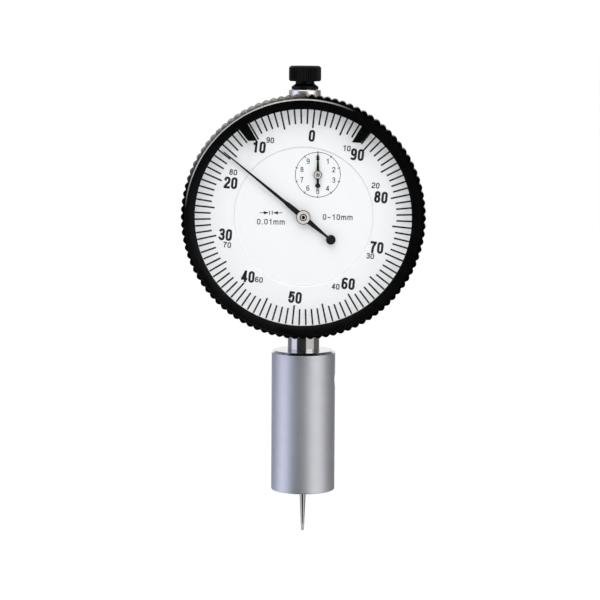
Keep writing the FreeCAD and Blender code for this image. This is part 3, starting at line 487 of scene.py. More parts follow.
class Finish:
    """A node material whose colour, gloss and relief follow noise on Object coordinates."""

    def __init__(self, name, **values):
        self.material = bpy.data.materials.new(name)
        self.tree = emptied(self.material)
        output = self.node("ShaderNodeOutputMaterial")
        self.shader = self.node("ShaderNodeBsdfPrincipled", **values)
        self.link(self.shader.outputs["BSDF"], output.inputs["Surface"])

    def node(self, kind, operation=None, **values):
        """New node in this material."""
        return add_node(self.tree, kind, operation, **values)

    def link(self, source, target):
        """Lead an output into an input."""
        self.tree.links.new(source, target)

    def space(self, stretch=(1, 1, 1), centre=(0, 0, 0)):
        """Object coordinates in millimetres, centred and stretched."""
        coordinates = self.node("ShaderNodeTexCoord")
        scale = [s / MM for s in stretch]
        shift = [-s * c for s, c in zip(scale, centre)]
        mapping = self.node("ShaderNodeMapping", Scale=scale, Location=shift)
        self.link(coordinates.outputs["Object"], mapping.inputs["Vector"])
        return mapping.outputs["Vector"]

    def rings(self):
        """Coordinate that changes only with the distance from the dial's axis, for faced metal."""
        distance = self.node("ShaderNodeVectorMath", "LENGTH")
        self.link(self.space(stretch=(1, 0, 1), centre=(0, 0, DIAL_HEIGHT)), distance.inputs[0])
        combined = self.node("ShaderNodeCombineXYZ")
        self.link(distance.outputs["Value"], combined.inputs["X"])
        return combined.outputs["Vector"]

    def toward(self, turn, first, last):
        """Share that grows from 0 to 1 between two distances along a direction of the dial.

        The direction is in degrees from the right and the distances are in millimetres.
        """
        along = self.node("ShaderNodeVectorMath", "DOT_PRODUCT")
        along.inputs[1].default_value = (math.cos(math.radians(turn)), 0, math.sin(math.radians(turn)))
        self.link(self.space(centre=(0, 0, DIAL_HEIGHT)), along.inputs[0])
        share = self.node("ShaderNodeMapRange", From_Min=first, From_Max=last)
        self.link(along.outputs["Value"], share.inputs["Value"])
        return share.outputs["Result"]

    def noise(self, vector, scale, detail=2.0):
        """Pattern of noise over a coordinate, in waves per millimetre."""
        made = self.node("ShaderNodeTexNoise", Scale=scale, Detail=detail)
        self.link(vector, made.inputs["Vector"])
        return made.outputs["Fac"]

    def tint(self, pattern, first, second):
        """Base colour that drifts between two colours with a pattern."""
        ramp = self.node("ShaderNodeValToRGB")
        places = (NOISE_LOW, NOISE_HIGH)
        for element, position, tone in zip(ramp.color_ramp.elements, places, (first, second)):
            element.position = position
            element.color = (*tone, 1)
        self.link(pattern, ramp.inputs["Fac"])
        self.link(ramp.outputs["Color"], self.shader.inputs["Base Color"])
        return self

    def drift(self, pattern, tone, darker, lighter):
        """Base colour that drifts between a darker and a lighter shade of one tone."""
        return self.tint(pattern, shade(tone, darker), shade(tone, lighter))

    def gloss(self, pattern, low, high):
        """Roughness that drifts between two values with a pattern."""
        spread = self.node(
            "ShaderNodeMapRange", From_Min=NOISE_LOW, From_Max=NOISE_HIGH, To_Min=low, To_Max=high)
        self.link(pattern, spread.inputs["Value"])
        self.link(spread.outputs["Result"], self.shader.inputs["Roughness"])
        return self

    def relief(self, pattern, height):
        """Bump of a height given in millimetres."""
        bump = self.node("ShaderNodeBump", Strength=1.0, Distance=height * MM)
        self.link(pattern, bump.inputs["Height"])
        self.link(bump.outputs["Normal"], self.shader.inputs["Normal"])
        return self


# In each finish, low and high are the lowest and highest roughness that it drifts between


def turned_metal(name, tone, low, high, relief=0.0006, grain=9.0):
    """Metal turned about the upright axis: fine rings one above the other, faint cloudiness."""
    finish = Finish(name, Metallic=1.0)
    lines = finish.noise(finish.space(stretch=(0.03, 0.03, 1.0)), scale=grain, detail=3.0)
    cloud = finish.noise(finish.space(), scale=0.35)
    finish.drift(cloud, tone, darker=0.98, lighter=1.02)
    return finish.gloss(lines, low, high).relief(lines, relief).material


def faced_metal(name, tone, low, high, relief=0.0006, grain=5.0, metallic=1.0):
    """Metal faced about the dial's axis: fine rings one inside the other."""
    finish = Finish(name, Metallic=metallic)
    lines = finish.noise(finish.rings(), scale=grain, detail=3.0)
    cloud = finish.noise(finish.space(), scale=0.2)
    finish.drift(cloud, tone, darker=0.985, lighter=1.015)
    return finish.gloss(lines, low, high).relief(lines, relief).material


def brushed_metal(name, tone, low, high):
    """Plate or wire with a straight grain along x."""
    finish = Finish(name, Metallic=1.0)
    grain = finish.noise(finish.space(stretch=(0.06, 1.0, 1.0)), scale=8.0, detail=4.0)
    finish.drift(grain, tone, darker=0.88, lighter=1.08)
    return finish.gloss(grain, low, high).relief(grain, height=0.0006).material


def black_metal(name, tone, low, high, relief=0.0015, specular=0.3):
    """Blackened metal with a fine even tooth and faint wear in its gloss."""
    finish = Finish(name, Specular_IOR_Level=specular)
    tooth = finish.noise(finish.space(), scale=6.0, detail=4.0)
    cloud = finish.noise(finish.space(), scale=0.25)
    finish.drift(cloud, tone, darker=0.8, lighter=1.3)
    return finish.gloss(cloud, low, high).relief(tooth, relief).material


def worn_metal(name, black, highlight_tone, turn, first, last, low, high):
    """Black finish with a painted highlight: its colour grows from black to a lighter metal tone towards one
    side of the dial, where the light falls.
    """
    finish = Finish(name, Metallic=1.0)
    tooth = finish.noise(finish.space(), scale=3.0, detail=3.0)
    finish.tint(finish.toward(turn, first, last), black, highlight_tone)
    return finish.gloss(tooth, low, high).relief(tooth, height=0.001).material


def enamel(name, tone):
    """Satin white enamel with a barely seen orange-peel."""
    finish = Finish(name)
    peel = finish.noise(finish.space(), scale=1.6, detail=3.0)
    finish.drift(peel, tone, darker=0.99, lighter=1.01)
    return finish.gloss(peel, low=0.42, high=0.5).relief(peel, height=0.0008).material


def printing_ink(name, tone):
    """Printing ink with slightly uneven cover."""
    finish = Finish(name)
    cover = finish.noise(finish.space(), scale=5.0, detail=3.0)
    finish.drift(cover, tone, darker=0.7, lighter=1.6)
    return finish.gloss(cover, low=0.5, high=0.65).relief(cover, height=0.0005).material


def clear_crystal(name):
    """Thin clear crystal that lets most of the light through to the dial."""
    finish = Finish(name, IOR=1.5, Alpha=0.04)
    haze = finish.noise(finish.space(), scale=0.2)
    finish.tint(haze, first=(0.10, 0.12, 0.13), second=(0.14, 0.16, 0.17))
    return finish.gloss(haze, low=0.02, high=0.05).material


def dress(piece, material):
    """Give a piece one finish."""
    piece.data.materials.clear()
    piece.data.materials.append(material)


def dress_faces(piece, material, chosen):
    """Give a second finish to the faces that chosen(centres, normals) picks out."""
    faces = piece.data.polygons
    values = np.empty((2, len(faces) * 3))
    faces.foreach_get("center", values[0])
    faces.foreach_get("normal", values[1])
    picked = chosen(*values.reshape(2, -1, 3))
    finishes = np.zeros(len(faces), dtype=np.int32)
    faces.foreach_get("material_index", finishes)
    finishes[picked] = len(piece.data.materials)
    piece.data.materials.append(material)
    faces.foreach_set("material_index", finishes)


def about_dial(centres, centre=(0.0, 0.0)):
    """Distances of face centres from an axis of the dial, and forward of the spindle axis."""
    across = centres[:, 0] - centre[0]
    up = centres[:, 2] - DIAL_HEIGHT - centre[1]
    return np.hypot(across, up), -centres[:, 1]


def even_shading(piece):
    """Let broad faces decide the shading, so that fillets don't dim the flats beside them."""
    step = piece.modifiers.new("even shading", "WEIGHTED_NORMAL")
    step.keep_sharp = True


def stand_for(piece, body, node, material):
    """Dress a piece, let it ride on a body, and show it in a node's place."""
    dress(piece, material)
    even_shading(piece)
    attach(piece, body)
    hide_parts(node)


def ride_dressed(piece, body, material):
    """Dress a piece that stands for no node and let it ride on a body."""
    dress(piece, material)
    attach(piece, body)


def dress_nodes(material, *nodes):
    """Give nodes that keep their own mesh one finish."""
    for node in nodes:
        dress(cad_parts[node], material)


class GaugeOperator:
    """Options that all the steps share"""

    bl_options = {"REGISTER", "UNDO"}


# Base, stem and spindle


class GAUGE_OT_base(GaugeOperator, bpy.types.Operator):
    """Turned measuring base and the screw that clamps it to the stem"""

    bl_idname = "gauge.base"
    bl_label = "Measuring Base"

    def execute(self, context):
        colours = context.scene.gauge_colours
        low, high = span("measuring_base")
        screw_low, screw_high = span("base_clamp_screw")
        radius = high[0]
        screw_radius = (screw_high[2] - screw_low[2]) / 2
        screw_height = (screw_high[2] + screw_low[2]) / 2
        chamfer = 0.6 * MM
        rim_edge = 0.08 * MM
        seat = reach("stem") + CLEARANCE
        seat_floor = span("stem")[0][2]
        hollow = 3.1 * MM
        floor = 3.0 * MM
        needle_hole = 1.15 * MM
        base = turned_piece("measuring_sleeve", [
            (needle_hole, low[2], EDGE),
            (radius, low[2], 0.35 * MM),
            (radius, high[2] - chamfer, rim_edge),
            (radius - chamfer, high[2], rim_edge),
            (seat, high[2], 0.12 * MM),
            (seat, seat_floor, 0.0),
            (hollow, seat_floor, 0.0),
            (hollow, floor, 0.0),
            (needle_hole, floor, 0.0),
        ], segments=256)
        hole = screw_radius + 0.03 * MM
        carve(base, disc("hole", hole, 0.0, radius + MM, lying(0.0, screw_height)))
        stand_for(base, "housing", "measuring_base", turned_metal(
            "satin turned base", colours.base, 0.48, 0.57))

        def top_face(centres, normals):
            """Faces that look up, in the top millimetre."""
            return (normals[:, 2] > 0.5) & (centres[:, 2] > high[2] - MM)

        bright = shade(colours.base, 1.1)
        dress_faces(base, turned_metal("faced base top", bright, 0.16, 0.22), top_face)

        depth = screw_high[0] - screw_low[0]
        carry = lying(screw_low[0], screw_height)
        screw = disc("clamp_screw", screw_radius, 0.0, depth, carry, fillets=(EDGE, 0.15 * MM))
        socket_radius = 0.87 * MM
        socket_floor = depth - 1.4 * MM
        hexagon = on_circle(socket_radius, np.radians(60.0 * np.arange(6)))
        points, faces = prism(hexagon, socket_floor, depth + MM)
        carve(screw, mesh_piece("socket", carry(points), faces))
        stand_for(screw, "housing", "base_clamp_screw", black_metal(
            "blackened screw", (0.03, 0.03, 0.032), 0.3, 0.4))
        return {"FINISHED"}


class GAUGE_OT_stem(GaugeOperator, bpy.types.Operator):
    """Chromed stem, the collar on top of the case and the guide bush in the stem"""

    bl_idname = "gauge.stem"
    bl_label = "Stem and Collar"

    def execute(self, context):
        colours = context.scene.gauge_colours
        low, high = span("stem")
        radius = high[0]
        spigot = 3.4 * MM
        bore = 2.7 * MM
        shoulder = high[2] - 4.55 * MM
        stem = turned_piece("stem_tube", [
            (bore, low[2], EDGE),
            (radius, low[2], 0.2 * MM),
            (radius, shoulder, EDGE),
            (spigot, shoulder, 0.0),
            (spigot, high[2], EDGE),
            (bore, high[2], EDGE),
        ])
        stand_for(stem, "housing", "stem", turned_metal(
            "ground chromed stem", colours.chrome, 0.10, 0.16, relief=0.0002, grain=20.0))

        low, high = span("upper_guide_bush")
        radius = high[0]
        bore = reach("spindle") + 0.04 * MM
        flange = high[2] - 1.8 * MM
        collar = turned_piece("top_collar", [
            (bore, low[2], EDGE),
            (spigot, low[2], EDGE),
            (spigot, flange, 0.0),
            (radius, flange, EDGE),
            (radius, high[2], 0.25 * MM),
            (bore, high[2], EDGE),
        ])
        stand_for(collar, "housing", "upper_guide_bush", turned_metal(
            "satin chromed collar", shade(colours.chrome, 1.5), 0.30, 0.38))
        dress_nodes(turned_metal("guide bush brass", colours.brass, 0.25, 0.35), "lower_guide_bush")
        return {"FINISHED"}


class GAUGE_OT_spindle(GaugeOperator, bpy.types.Operator):
    """Contact needle, lifting knob and the ground finish of the racked spindle"""

    bl_idname = "gauge.spindle"
    bl_label = "Spindle"

    def execute(self, context):
        sizes = context.scene.gauge_sizes
        colours = context.scene.gauge_colours
        low, high = span("contact_needle")
        collar = high[0]
        collar_top = span("spindle")[0][2] - CLEARANCE
        collar_low = collar_top - 2.38 * MM
        tip = 0.35 * MM
        shank = 0.85 * MM
        shank_low = 0.0
        thread = 1.25 * MM
        needle = turned_piece("needle_point", [
            (0.0, low[2], 0.0),
            (tip, low[2], 0.28 * MM),
            (shank, shank_low, 1.5 * MM),
            (shank, collar_low, EDGE),
            (collar, collar_low, EDGE),
            (collar, collar_top, EDGE),
            (thread, collar_top, 0.0),
            (thread, high[2], EDGE),
            (0.0, high[2], 0.0),
        ], segments=96)
        stand_for(needle, "spindle_rod", "contact_needle", turned_metal(
            "polished needle", colours.chrome, 0.12, 0.2, relief=0.0002, grain=20.0))

        low, high = span("lifting_knob")
        radius = high[0]
        flange = 3.35 * MM
        flange_top = low[2] + 0.7 * MM
        waist = 2.35 * MM
        head = flange_top + 1.3 * MM
        stud = 1.22 * MM
        stud_top = low[2] + 4.4 * MM
        waist_low = flange_top + 0.65 * MM
        bevel = 0.3 * MM
        crown_low = high[2] - 0.45 * MM
        crown = radius - 0.5 * MM
        ridges = sizes.knurl_ridges
        depth = sizes.knurl_depth
        ripple_start = radius - 0.6 * MM
        ripple_rise = 0.35 * MM

        def knurl(outline, around):
            """Ripple of -depth (1 - |cos(n a / 2)|), growing to full over ripple_rise from its start."""
            rim = np.clip((outline[:, :1] - ripple_start) / ripple_rise, 0, 1)
            return -depth * (1 - np.abs(np.cos(ridges * around / 2))) * rim

        knob = turned_piece("knurled_knob", [
            (stud, low[2], 0.0),
            (flange, low[2], EDGE),
            (flange, flange_top, 0.15 * MM),
            (waist, waist_low, 0.5 * MM),
            (waist, head, 0.2 * MM),
            (radius - bevel, head, 0.0),
            (radius, head + bevel, FINE_EDGE),
            (radius, crown_low, FINE_EDGE),
            (crown, high[2], EDGE),
            (0.0, high[2], 0.0),
            (0.0, stud_top, 0.0),
            (stud, stud_top, 0.0),
        ], segments=ridges * 12, ripple=knurl)
        stand_for(knob, "spindle_rod", "lifting_knob", black_metal(
            "blackened knob", colours.black, 0.28, 0.4, relief=0.001, specular=0.14))
        dress_nodes(turned_metal("ground spindle", colours.chrome, 0.16, 0.24), "spindle")
        dress_nodes(brushed_metal("guide pin steel", colours.steel, 0.18, 0.28), "guide_pin")
        return {"FINISHED"}


# Case and bezel

# Directions of the cover screws from the case's centre and of their slots, in degrees
SCREW_TURNS = (45.0, 135.0, 225.0, 315.0)
SLOT_TURNS = (20.0, 75.0, 130.0, 48.0)


class GAUGE_OT_case(GaugeOperator, bpy.types.Operator):
    """Case shell and the back cover with its four countersunk screws"""

    bl_idname = "gauge.case"
    bl_label = "Case and Cover"

    def execute(self, context):
        sizes = context.scene.gauge_sizes
        colours = context.scene.gauge_colours
        dress_nodes(faced_metal("satin case", colours.case, 0.28, 0.36), "case")
        outer = back("back_cover")
        inner = front("back_cover")
        head = sizes.screw_head
        pocket = head + 0.05 * MM
        pocket_floor = outer + 0.9 * MM
        sunk = 0.06 * MM
        slot_width = 0.5 * MM
        slot_floor = outer + 0.55 * MM
        cover = disc(
            "back_plate", reach("back_cover"), outer, inner, dialwise,
            fillets=(0.3 * MM, FINE_EDGE), segments=256)
        places = on_circle(sizes.screw_circle, np.radians(SCREW_TURNS))
        carve(cover, *[
            disc("pocket", pocket, outer - MM, pocket_floor, dialwise, centre=place) for place in places])
        stand_for(cover, "housing", "back_cover", faced_metal("faced cover", colours.case, 0.26, 0.36))
        steel = faced_metal("cover screw steel", colours.steel, 0.2, 0.3)
        for number, (place, turn) in enumerate(zip(places, np.radians(SLOT_TURNS))):
            screw = disc(
                "cover_screw_%d" % (number + 1), head, outer + sunk, pocket_floor, dialwise,
                fillets=(0.15 * MM, 0.0), centre=place)
            points, faces = radial_bars(
                np.array([turn]), -2 * head, 2 * head, slot_width, outer - MM, slot_floor, place)
            carve(screw, mesh_piece("slot", dialwise(points), faces))
            even_shading(screw)
            ride_dressed(screw, "housing", steel)
        return {"FINISHED"}


class GAUGE_OT_bezel(GaugeOperator, bpy.types.Operator):
    """Serrated bezel, its crystal, spacer and limit markers"""

    bl_idname = "gauge.bezel"
    bl_label = "Bezel and Crystal"

    def execute(self, context):
        sizes = context.scene.gauge_sizes
        colours = context.scene.gauge_colours
        peak = reach("bezel")
        rear = back("bezel")
        nose_front = front("bezel")
        glass_front = front("glass")
        bore = reach("glass") + CLEARANCE
        nose = peak - 0.95 * MM
        chamfer = 0.35 * MM
        band_chamfer = 0.4 * MM
        band_edge = 0.15 * MM
        lip = nose - 2.55 * MM
        groove = lip + 0.55 * MM
        groove_front = glass_front + 0.4 * MM
        band_front = nose_front - 1.3 * MM
        ridges = sizes.ridges
        depth = sizes.ridge_depth

        def serration(outline, around):
            """Ripple of -depth (1 - |cos(n a / 2)|), full at the peak radius and none at the nose's."""
            share = np.clip((outline[:, :1] - nose) / (peak - nose), 0, 1)
            return -depth * (1 - np.abs(np.cos(ridges * around / 2))) * share

        ring = turned_piece("serrated_bezel", [
            (bore, rear, EDGE),
            (peak - chamfer, rear, EDGE),
            (peak, rear + chamfer, EDGE),
            (peak, band_front - band_chamfer, band_edge),
            (peak - band_chamfer, band_front, band_edge),
            (nose, band_front, FINE_EDGE),
            (nose, nose_front - chamfer, 0.08 * MM),
            (nose - chamfer, nose_front, 0.12 * MM),
            (lip, nose_front - 0.55 * MM, EDGE),
            (lip, groove_front, FINE_EDGE),
            (groove, groove_front, 0.0),
            (groove, glass_front, 0.0),
            (bore, glass_front, 0.0),
        ], carry=dialwise, segments=ridges * 10, ripple=serration, steps=3)
        stand_for(ring, "bezel_ring", "bezel", black_metal(
            "blackened bezel", colours.black, 0.24, 0.32, specular=0.08))

        def nose_rounding(centres, normals):
            """Faces at the nose's outer front edge that lean away from straight ahead, which get a painted
            highlight.
            """
            radius, ahead = about_dial(centres)
            return (ahead > nose_front - 0.3 * MM) & (radius > nose - 0.32 * MM) & (normals[:, 1] > -0.93)

        def ridge_fronts(centres, normals):
            """Faces on the chamfer in front of the ridges, which get a painted highlight."""
            radius, ahead = about_dial(centres)
            on_chamfer = (ahead < band_front + 0.05 * MM) & (ahead > band_front - 0.42 * MM)
            return on_chamfer & (radius > nose + 0.1 * MM)

        # Painted highlight: the nose's outer edge and the fronts of the ridges turn lighter towards the
        # upper left, where the light falls on them.
        dress_faces(ring, worn_metal(
            "bezel edge painted highlight", colours.black, highlight_tone=(0.48, 0.46, 0.43),
            turn=120.0, first=11.0, last=29.0, low=0.2, high=0.28), nose_rounding)
        dress_faces(ring, worn_metal(
            "ridge fronts painted highlight", colours.black, highlight_tone=(0.34, 0.32, 0.30),
            turn=126.0, first=19.0, last=32.5, low=0.35, high=0.5), ridge_fronts)
        dress_nodes(clear_crystal("crystal"), "glass")
        dress_nodes(enamel("spacer grey", shade(colours.dial, 0.8)), "glass_spacer")
        dress_nodes(
            black_metal("blackened markers", colours.black, 0.3, 0.4, specular=0.08),
            "limit_marker_left", "limit_marker_right")
        return {"FINISHED"}


# Dial and hands

# Radius of the printed 0 and 50, in millimetres
UPRIGHT_FIGURES = 20.0

# Other figures round the scale: reading and second reading, then for each its angle from the
# zero in degrees, counter-clockwise, and its radius in millimetres.
FIGURES = (
    (10, 90, 38.3, 20.3, 29.3, 20.5),
    (20, 80, 70.8, 19.7, 63.4, 20.4),
    (30, 70, 108.8, 19.7, 116.1, 20.0),
    (40, 60, 143.1, 20.1, 150.7, 19.0),
    (60, 40, -140.3, 19.8, -149.3, 18.9),
    (70, 30, -106.7, 19.5, -114.4, 19.0),
    (80, 20, -69.7, 19.6, -60.4, 19.3),
    (90, 10, -34.8, 20.2, -26.2, 19.9),
)


class GAUGE_OT_scale(GaugeOperator, bpy.types.Operator):
    """Scale ring with its hundred divisions and two rows of figures"""

    bl_idname = "gauge.scale"
    bl_label = "Scale Ring"

    def execute(self, context):
        sizes = context.scene.gauge_sizes
        colours = context.scene.gauge_colours
        low = front("scale_ring")
        high = low + sizes.print_height
        zero = TURN / 4 - sizes.scale_turn
        readings = np.arange(sizes.divisions)
        turns = zero + TURN * readings / sizes.divisions
        inner = np.where(readings % 5 == 0, sizes.long_division_end, sizes.division_end)
        outer = reach("scale_ring") - 0.2 * MM
        parts = [radial_bars(turns, inner, outer, sizes.division_width, low, high)]

        def figures(reading, tall, shares, turn, radius):
            """Print a reading at an angle from the zero, in degrees, and a radius in millimetres."""
            place = on_circle(radius * MM, zero + math.radians(turn))
            parts.append(placed(lettering(str(reading), tall, shares, low, high), place, -sizes.scale_turn))

        figures(0, sizes.figure_height, LARGE_FIGURES, 0.0, UPRIGHT_FIGURES)
        figures(50, sizes.figure_height, LARGE_FIGURES, 180.0, UPRIGHT_FIGURES)
        for reading, second, turn, radius, second_turn, second_radius in FIGURES:
            figures(reading, sizes.figure_height, LARGE_FIGURES, turn, radius)
            figures(second, sizes.small_figure_height, SMALL_FIGURES, second_turn, second_radius)
        points, faces = joined(parts)
        ride_dressed(mesh_piece("scale_print", dialwise(points), faces), "bezel_ring", printing_ink(
            "scale ink", colours.ink))

        inner = reach("dial_disc") + sizes.dial_gap
        slope = low - front("dial_disc")
        slope_edge = 0.03 * MM
        plate = turned_piece("bevelled_scale_ring", [
            (inner, back("scale_ring"), 0.0),
            (reach("scale_ring"), back("scale_ring"), 0.0),
            (reach("scale_ring"), low, FINE_EDGE),
            (inner + slope, low, slope_edge),
            (inner, low - slope, slope_edge),
        ], carry=dialwise, segments=256)
        stand_for(plate, "bezel_ring", "scale_ring", enamel("scale enamel", colours.dial))
        return {"FINISHED"}


# Printed legends and the arrows above the first: places from the dial's centre, in millimetres
LEGEND_PLACES = (("0.01mm", (-8.0, -1.25)), ("0-10mm", (8.4, 0.0)))
ARROWS_PLACE = (-8.0, 0.95)

# Shaft, head and bar of the left arrow, in millimetres; half a turn makes the right one
ARROW = (
    ((-2.8, -0.09), (-1.6, -0.09), (-1.6, 0.09), (-2.8, 0.09)),
    ((-1.75, -0.42), (-0.55, -0.03), (-0.55, 0.03), (-1.75, 0.42)),
    ((-0.42, -0.48), (-0.22, -0.48), (-0.22, 0.48), (-0.42, 0.48)),
)


class GAUGE_OT_dial(GaugeOperator, bpy.types.Operator):
    """Inner dial: the small counter dial and the plain legends"""

    bl_idname = "gauge.dial"
    bl_label = "Inner Dial"

    def execute(self, context):
        sizes = context.scene.gauge_sizes
        colours = context.scene.gauge_colours
        low = front("dial_disc")
        high = low + sizes.print_height
        circle = sizes.counter_circle
        line = 0.14 * MM
        mark_inner = circle - 0.4 * MM
        mark_outer = circle + 0.25 * MM
        mark_width = 0.18 * MM
        figure_height = 1.3 * MM
        ring = revolved(np.array([
            [circle - line / 2, low],
            [circle + line / 2, low],
            [circle + line / 2, high],
            [circle - line / 2, high],
        ]), 128)
        marks = TURN / 4 - TURN * np.arange(10) / 10
        parts = [
            placed(ring, COUNTER),
            radial_bars(marks, mark_inner, mark_outer, mark_width, low, high, COUNTER),
        ]
        for figure, place in enumerate(np.array(COUNTER) + on_circle(sizes.counter_figures, marks)):
            parts.append(placed(lettering(str(figure), figure_height, COUNTER_FIGURES, low, high), place))
        for words, place in LEGEND_PLACES:
            legend = lettering(words, sizes.legend_height, LEGENDS, low, high)
            parts.append(placed(legend, MM * np.array(place)))
        arrow = MM * np.array(ARROW)
        parts.append(placed(blocks(np.concatenate([arrow, -arrow]), low, high), MM * np.array(ARROWS_PLACE)))
        points, faces = joined(parts)
        ride_dressed(mesh_piece("dial_print", dialwise(points), faces), "housing", printing_ink(
            "dial ink", colours.ink))

        white = enamel("dial enamel", colours.dial)
        dress_nodes(white, "dial_disc")
        rim_inner = reach("dial_disc") - 0.15 * MM
        rim_outer = reach("dial_disc") + sizes.dial_gap - 0.03 * MM
        rim_low = low - 0.5 * MM
        rim_high = low + 0.004 * MM
        rim = turned_piece("dial_rim", [
            (rim_inner, rim_low, 0.0),
            (rim_outer, rim_low, 0.0),
            (rim_outer, rim_high, 0.02 * MM),
            (rim_inner, rim_high, 0.0),
        ], carry=dialwise, segments=256)
        ride_dressed(rim, "housing", white)
        return {"FINISHED"}


# Turn of the pointer from upright at rest, counter-clockwise
POINTER_TURN = math.radians(50.9)

# Pointer: distance from its arbor and half its width there, in millimetres, up to its last taper
POINTER_SIDE = ((-8.0, 0.28), (-6.6, 0.3), (-1.9, 0.62), (1.9, 0.64), (4.6, 0.6), (5.9, 0.4))
WEIGHT_PLACE = (-8.7 * MM, 0.0)
WEIGHT_RADIUS = 1.2 * MM

# Rings on a hub's face as shares of its radius: start of the chamfer, inner and outer edge of
# the groove, and edge of the arbor's end. Walls lean and edges are rounded by HUB_SLANT.
HUB_CHAMFER = 0.9
HUB_GROOVE = (0.37, 0.52)
HUB_END = 0.26
HUB_SLANT = 0.02

# Hubs: piece, node, body, the hand below, the arbor inside and its place on the dial
HUBS = (
    ("pointer_boss", "pointer_hub", "centre_arbor", "pointer", "centre_pinion", (0.0, 0.0)),
    ("counter_boss", "counter_hand_hub", "counter_arbor", "counter_hand", "take_up_arbor", COUNTER),
)


def pointer_outline(length_ahead):
    """Outline of the pointer along +x: its tapered sides, its end and the round weight."""
    end = ((length_ahead - 0.5 * MM, 0.12 * MM), (length_ahead, 0.04 * MM))
    side = np.vstack([MM * np.array(POINTER_SIDE), end])
    weight = np.array(WEIGHT_PLACE) + on_circle(WEIGHT_RADIUS, np.radians(np.linspace(20, 340, 41)))
    return np.vstack([side * (1, -1), side[::-1], weight])


def ringed_hub(name, bore, node, blade, arbor, centre):
    """Hub that stands on a hand's blade and closes over its arbor, with rings in its face."""
    radius = reach(node)
    face = front(node)
    seat = front(blade)
    sleeve = bore + 0.15 * radius
    chamfer_low = face - 0.08 * radius
    depth = face - front(arbor)
    slant = HUB_SLANT * radius
    groove_inner, groove_outer = radius * np.array(HUB_GROOVE)
    groove_floor = face - 0.5 * depth
    end_floor = face - 0.6 * depth
    bore_end = face - 0.9 * depth
    return turned_piece(name, [
        (bore, back(node), 0.0),
        (sleeve, back(node), 0.0),
        (sleeve, seat, 0.0),
        (radius, seat, slant),
        (radius, chamfer_low, slant),
        (HUB_CHAMFER * radius, face, slant),
        (groove_outer, face, 0.0),
        (groove_outer - slant, groove_floor, 0.0),
        (groove_inner + slant, groove_floor, 0.0),
        (groove_inner, face, 0.0),
        (HUB_END * radius, face, 0.0),
        (HUB_END * radius - slant, end_floor, 0.0),
        (0.0, end_floor, 0.0),
        (0.0, bore_end, 0.0),
        (bore, bore_end, 0.0),
    ], carry=dialwise, centre=centre, segments=96)


def dark_rings(radius, centre):
    """Chooser of a hub's faces on its chamfer, in its groove and on the arbor's end, which are painted black
    as painted shade.
    """
    def chosen(centres, normals):
        """Faces by their distance from the hub's axis, as a share of its radius."""
        out = about_dial(centres, centre)[0] / radius
        return (out > HUB_CHAMFER) | ((out > HUB_GROOVE[0]) & (out < HUB_GROOVE[1])) | (out < HUB_END)

    return chosen


class GAUGE_OT_hands(GaugeOperator, bpy.types.Operator):
    """Both hands and their ringed hubs"""

    bl_idname = "gauge.hands"
    bl_label = "Hands"

    def execute(self, context):
        colours = context.scene.gauge_colours
        black = black_metal("blackened hands and painted hub shade", colours.black, 0.45, 0.55, specular=0.12)
        dress_nodes(black, "counter_hand")
        bore = reach("take_up_arbor") + CLEARANCE
        low = back("pointer")
        high = front("pointer")
        length_ahead = -span("pointer")[0][0] / math.sin(POINTER_TURN) - 0.12 * MM
        flat = prism(pointer_outline(length_ahead), low, high)
        points, faces = placed(flat, (0, 0), TURN / 4 + POINTER_TURN)
        blade = mesh_piece("tapered_pointer", dialwise(points), faces)
        carve(blade, disc("hole", bore + 0.3 * MM, low - MM, high + MM, dialwise, segments=48))
        stand_for(blade, "centre_arbor", "pointer", black)

        plate = faced_metal("plated hub", (0.88, 0.80, 0.74), 0.25, 0.33, relief=0.0003, metallic=0.25)
        for name, node, body, hand, arbor, centre in HUBS:
            hub = ringed_hub(name, bore, node, hand, arbor, centre)
            stand_for(hub, body, node, plate)
            # Black on the hub's chamfer, in its groove and on its recessed centre is painted shade of the
            # side wall and of the recesses.
            dress_faces(hub, black, dark_rings(reach(node), centre))
        return {"FINISHED"}


class GAUGE_OT_movement(GaugeOperator, bpy.types.Operator):
    """Finishes of the plates, wheels, arbors and springs inside the case"""

    bl_idname = "gauge.movement"
    bl_label = "Movement"

    def execute(self, context):
        brass = context.scene.gauge_colours.brass
        steel = context.scene.gauge_colours.steel
        dress_nodes(
            brushed_metal("brushed plate brass", brass, 0.25, 0.35),
            "movement_back_plate", "movement_front_plate", "plate_pillars", "pinion_bridge")
        dress_nodes(
            faced_metal("wheel brass", shade(brass, 1.1), 0.2, 0.28),
            "drive_wheel", "take_up_wheel")
        dress_nodes(brushed_metal("collet brass", brass, 0.22, 0.3), "hairspring_collet")
        dress_nodes(
            brushed_metal("arbor steel", steel, 0.15, 0.25),
            "rack_pinion", "centre_pinion", "take_up_arbor", "hairspring_stud", "spring_post")
        dress_nodes(
            brushed_metal("spring steel", shade(steel, 0.8), 0.2, 0.3),
            "return_spring", "hairspring")
        dress_nodes(brushed_metal("guide bar steel", steel, 0.25, 0.35), "guide_bar")
        return {"FINISHED"}


# Studio

# Half the floor's side, and its tone
FLOOR_HALF = 8.0
FLOOR_TONE = (0.88, 0.88, 0.88)

# The camera sees this share of the floor as plain light of this strength
FLOOR_SHARE = 0.85
FLOOR_STRENGTH = 1.07

# Cards that only polished metal sees: name, first and last degrees, tone and strength
COOL = (0.80, 0.84, 1.0)
PLAIN = (1.0, 0.99, 0.98)
CARDS = (
    ("card_left_back", -150, -94, COOL, 0.32),
    ("softbox_left", -94, -48, COOL, 1.35),
    ("card_front", -48, 20, PLAIN, 0.04),
    ("softbox_right", 20, 80, PLAIN, 0.85),
    ("card_right_back", 80, 150, PLAIN, 0.16),
)

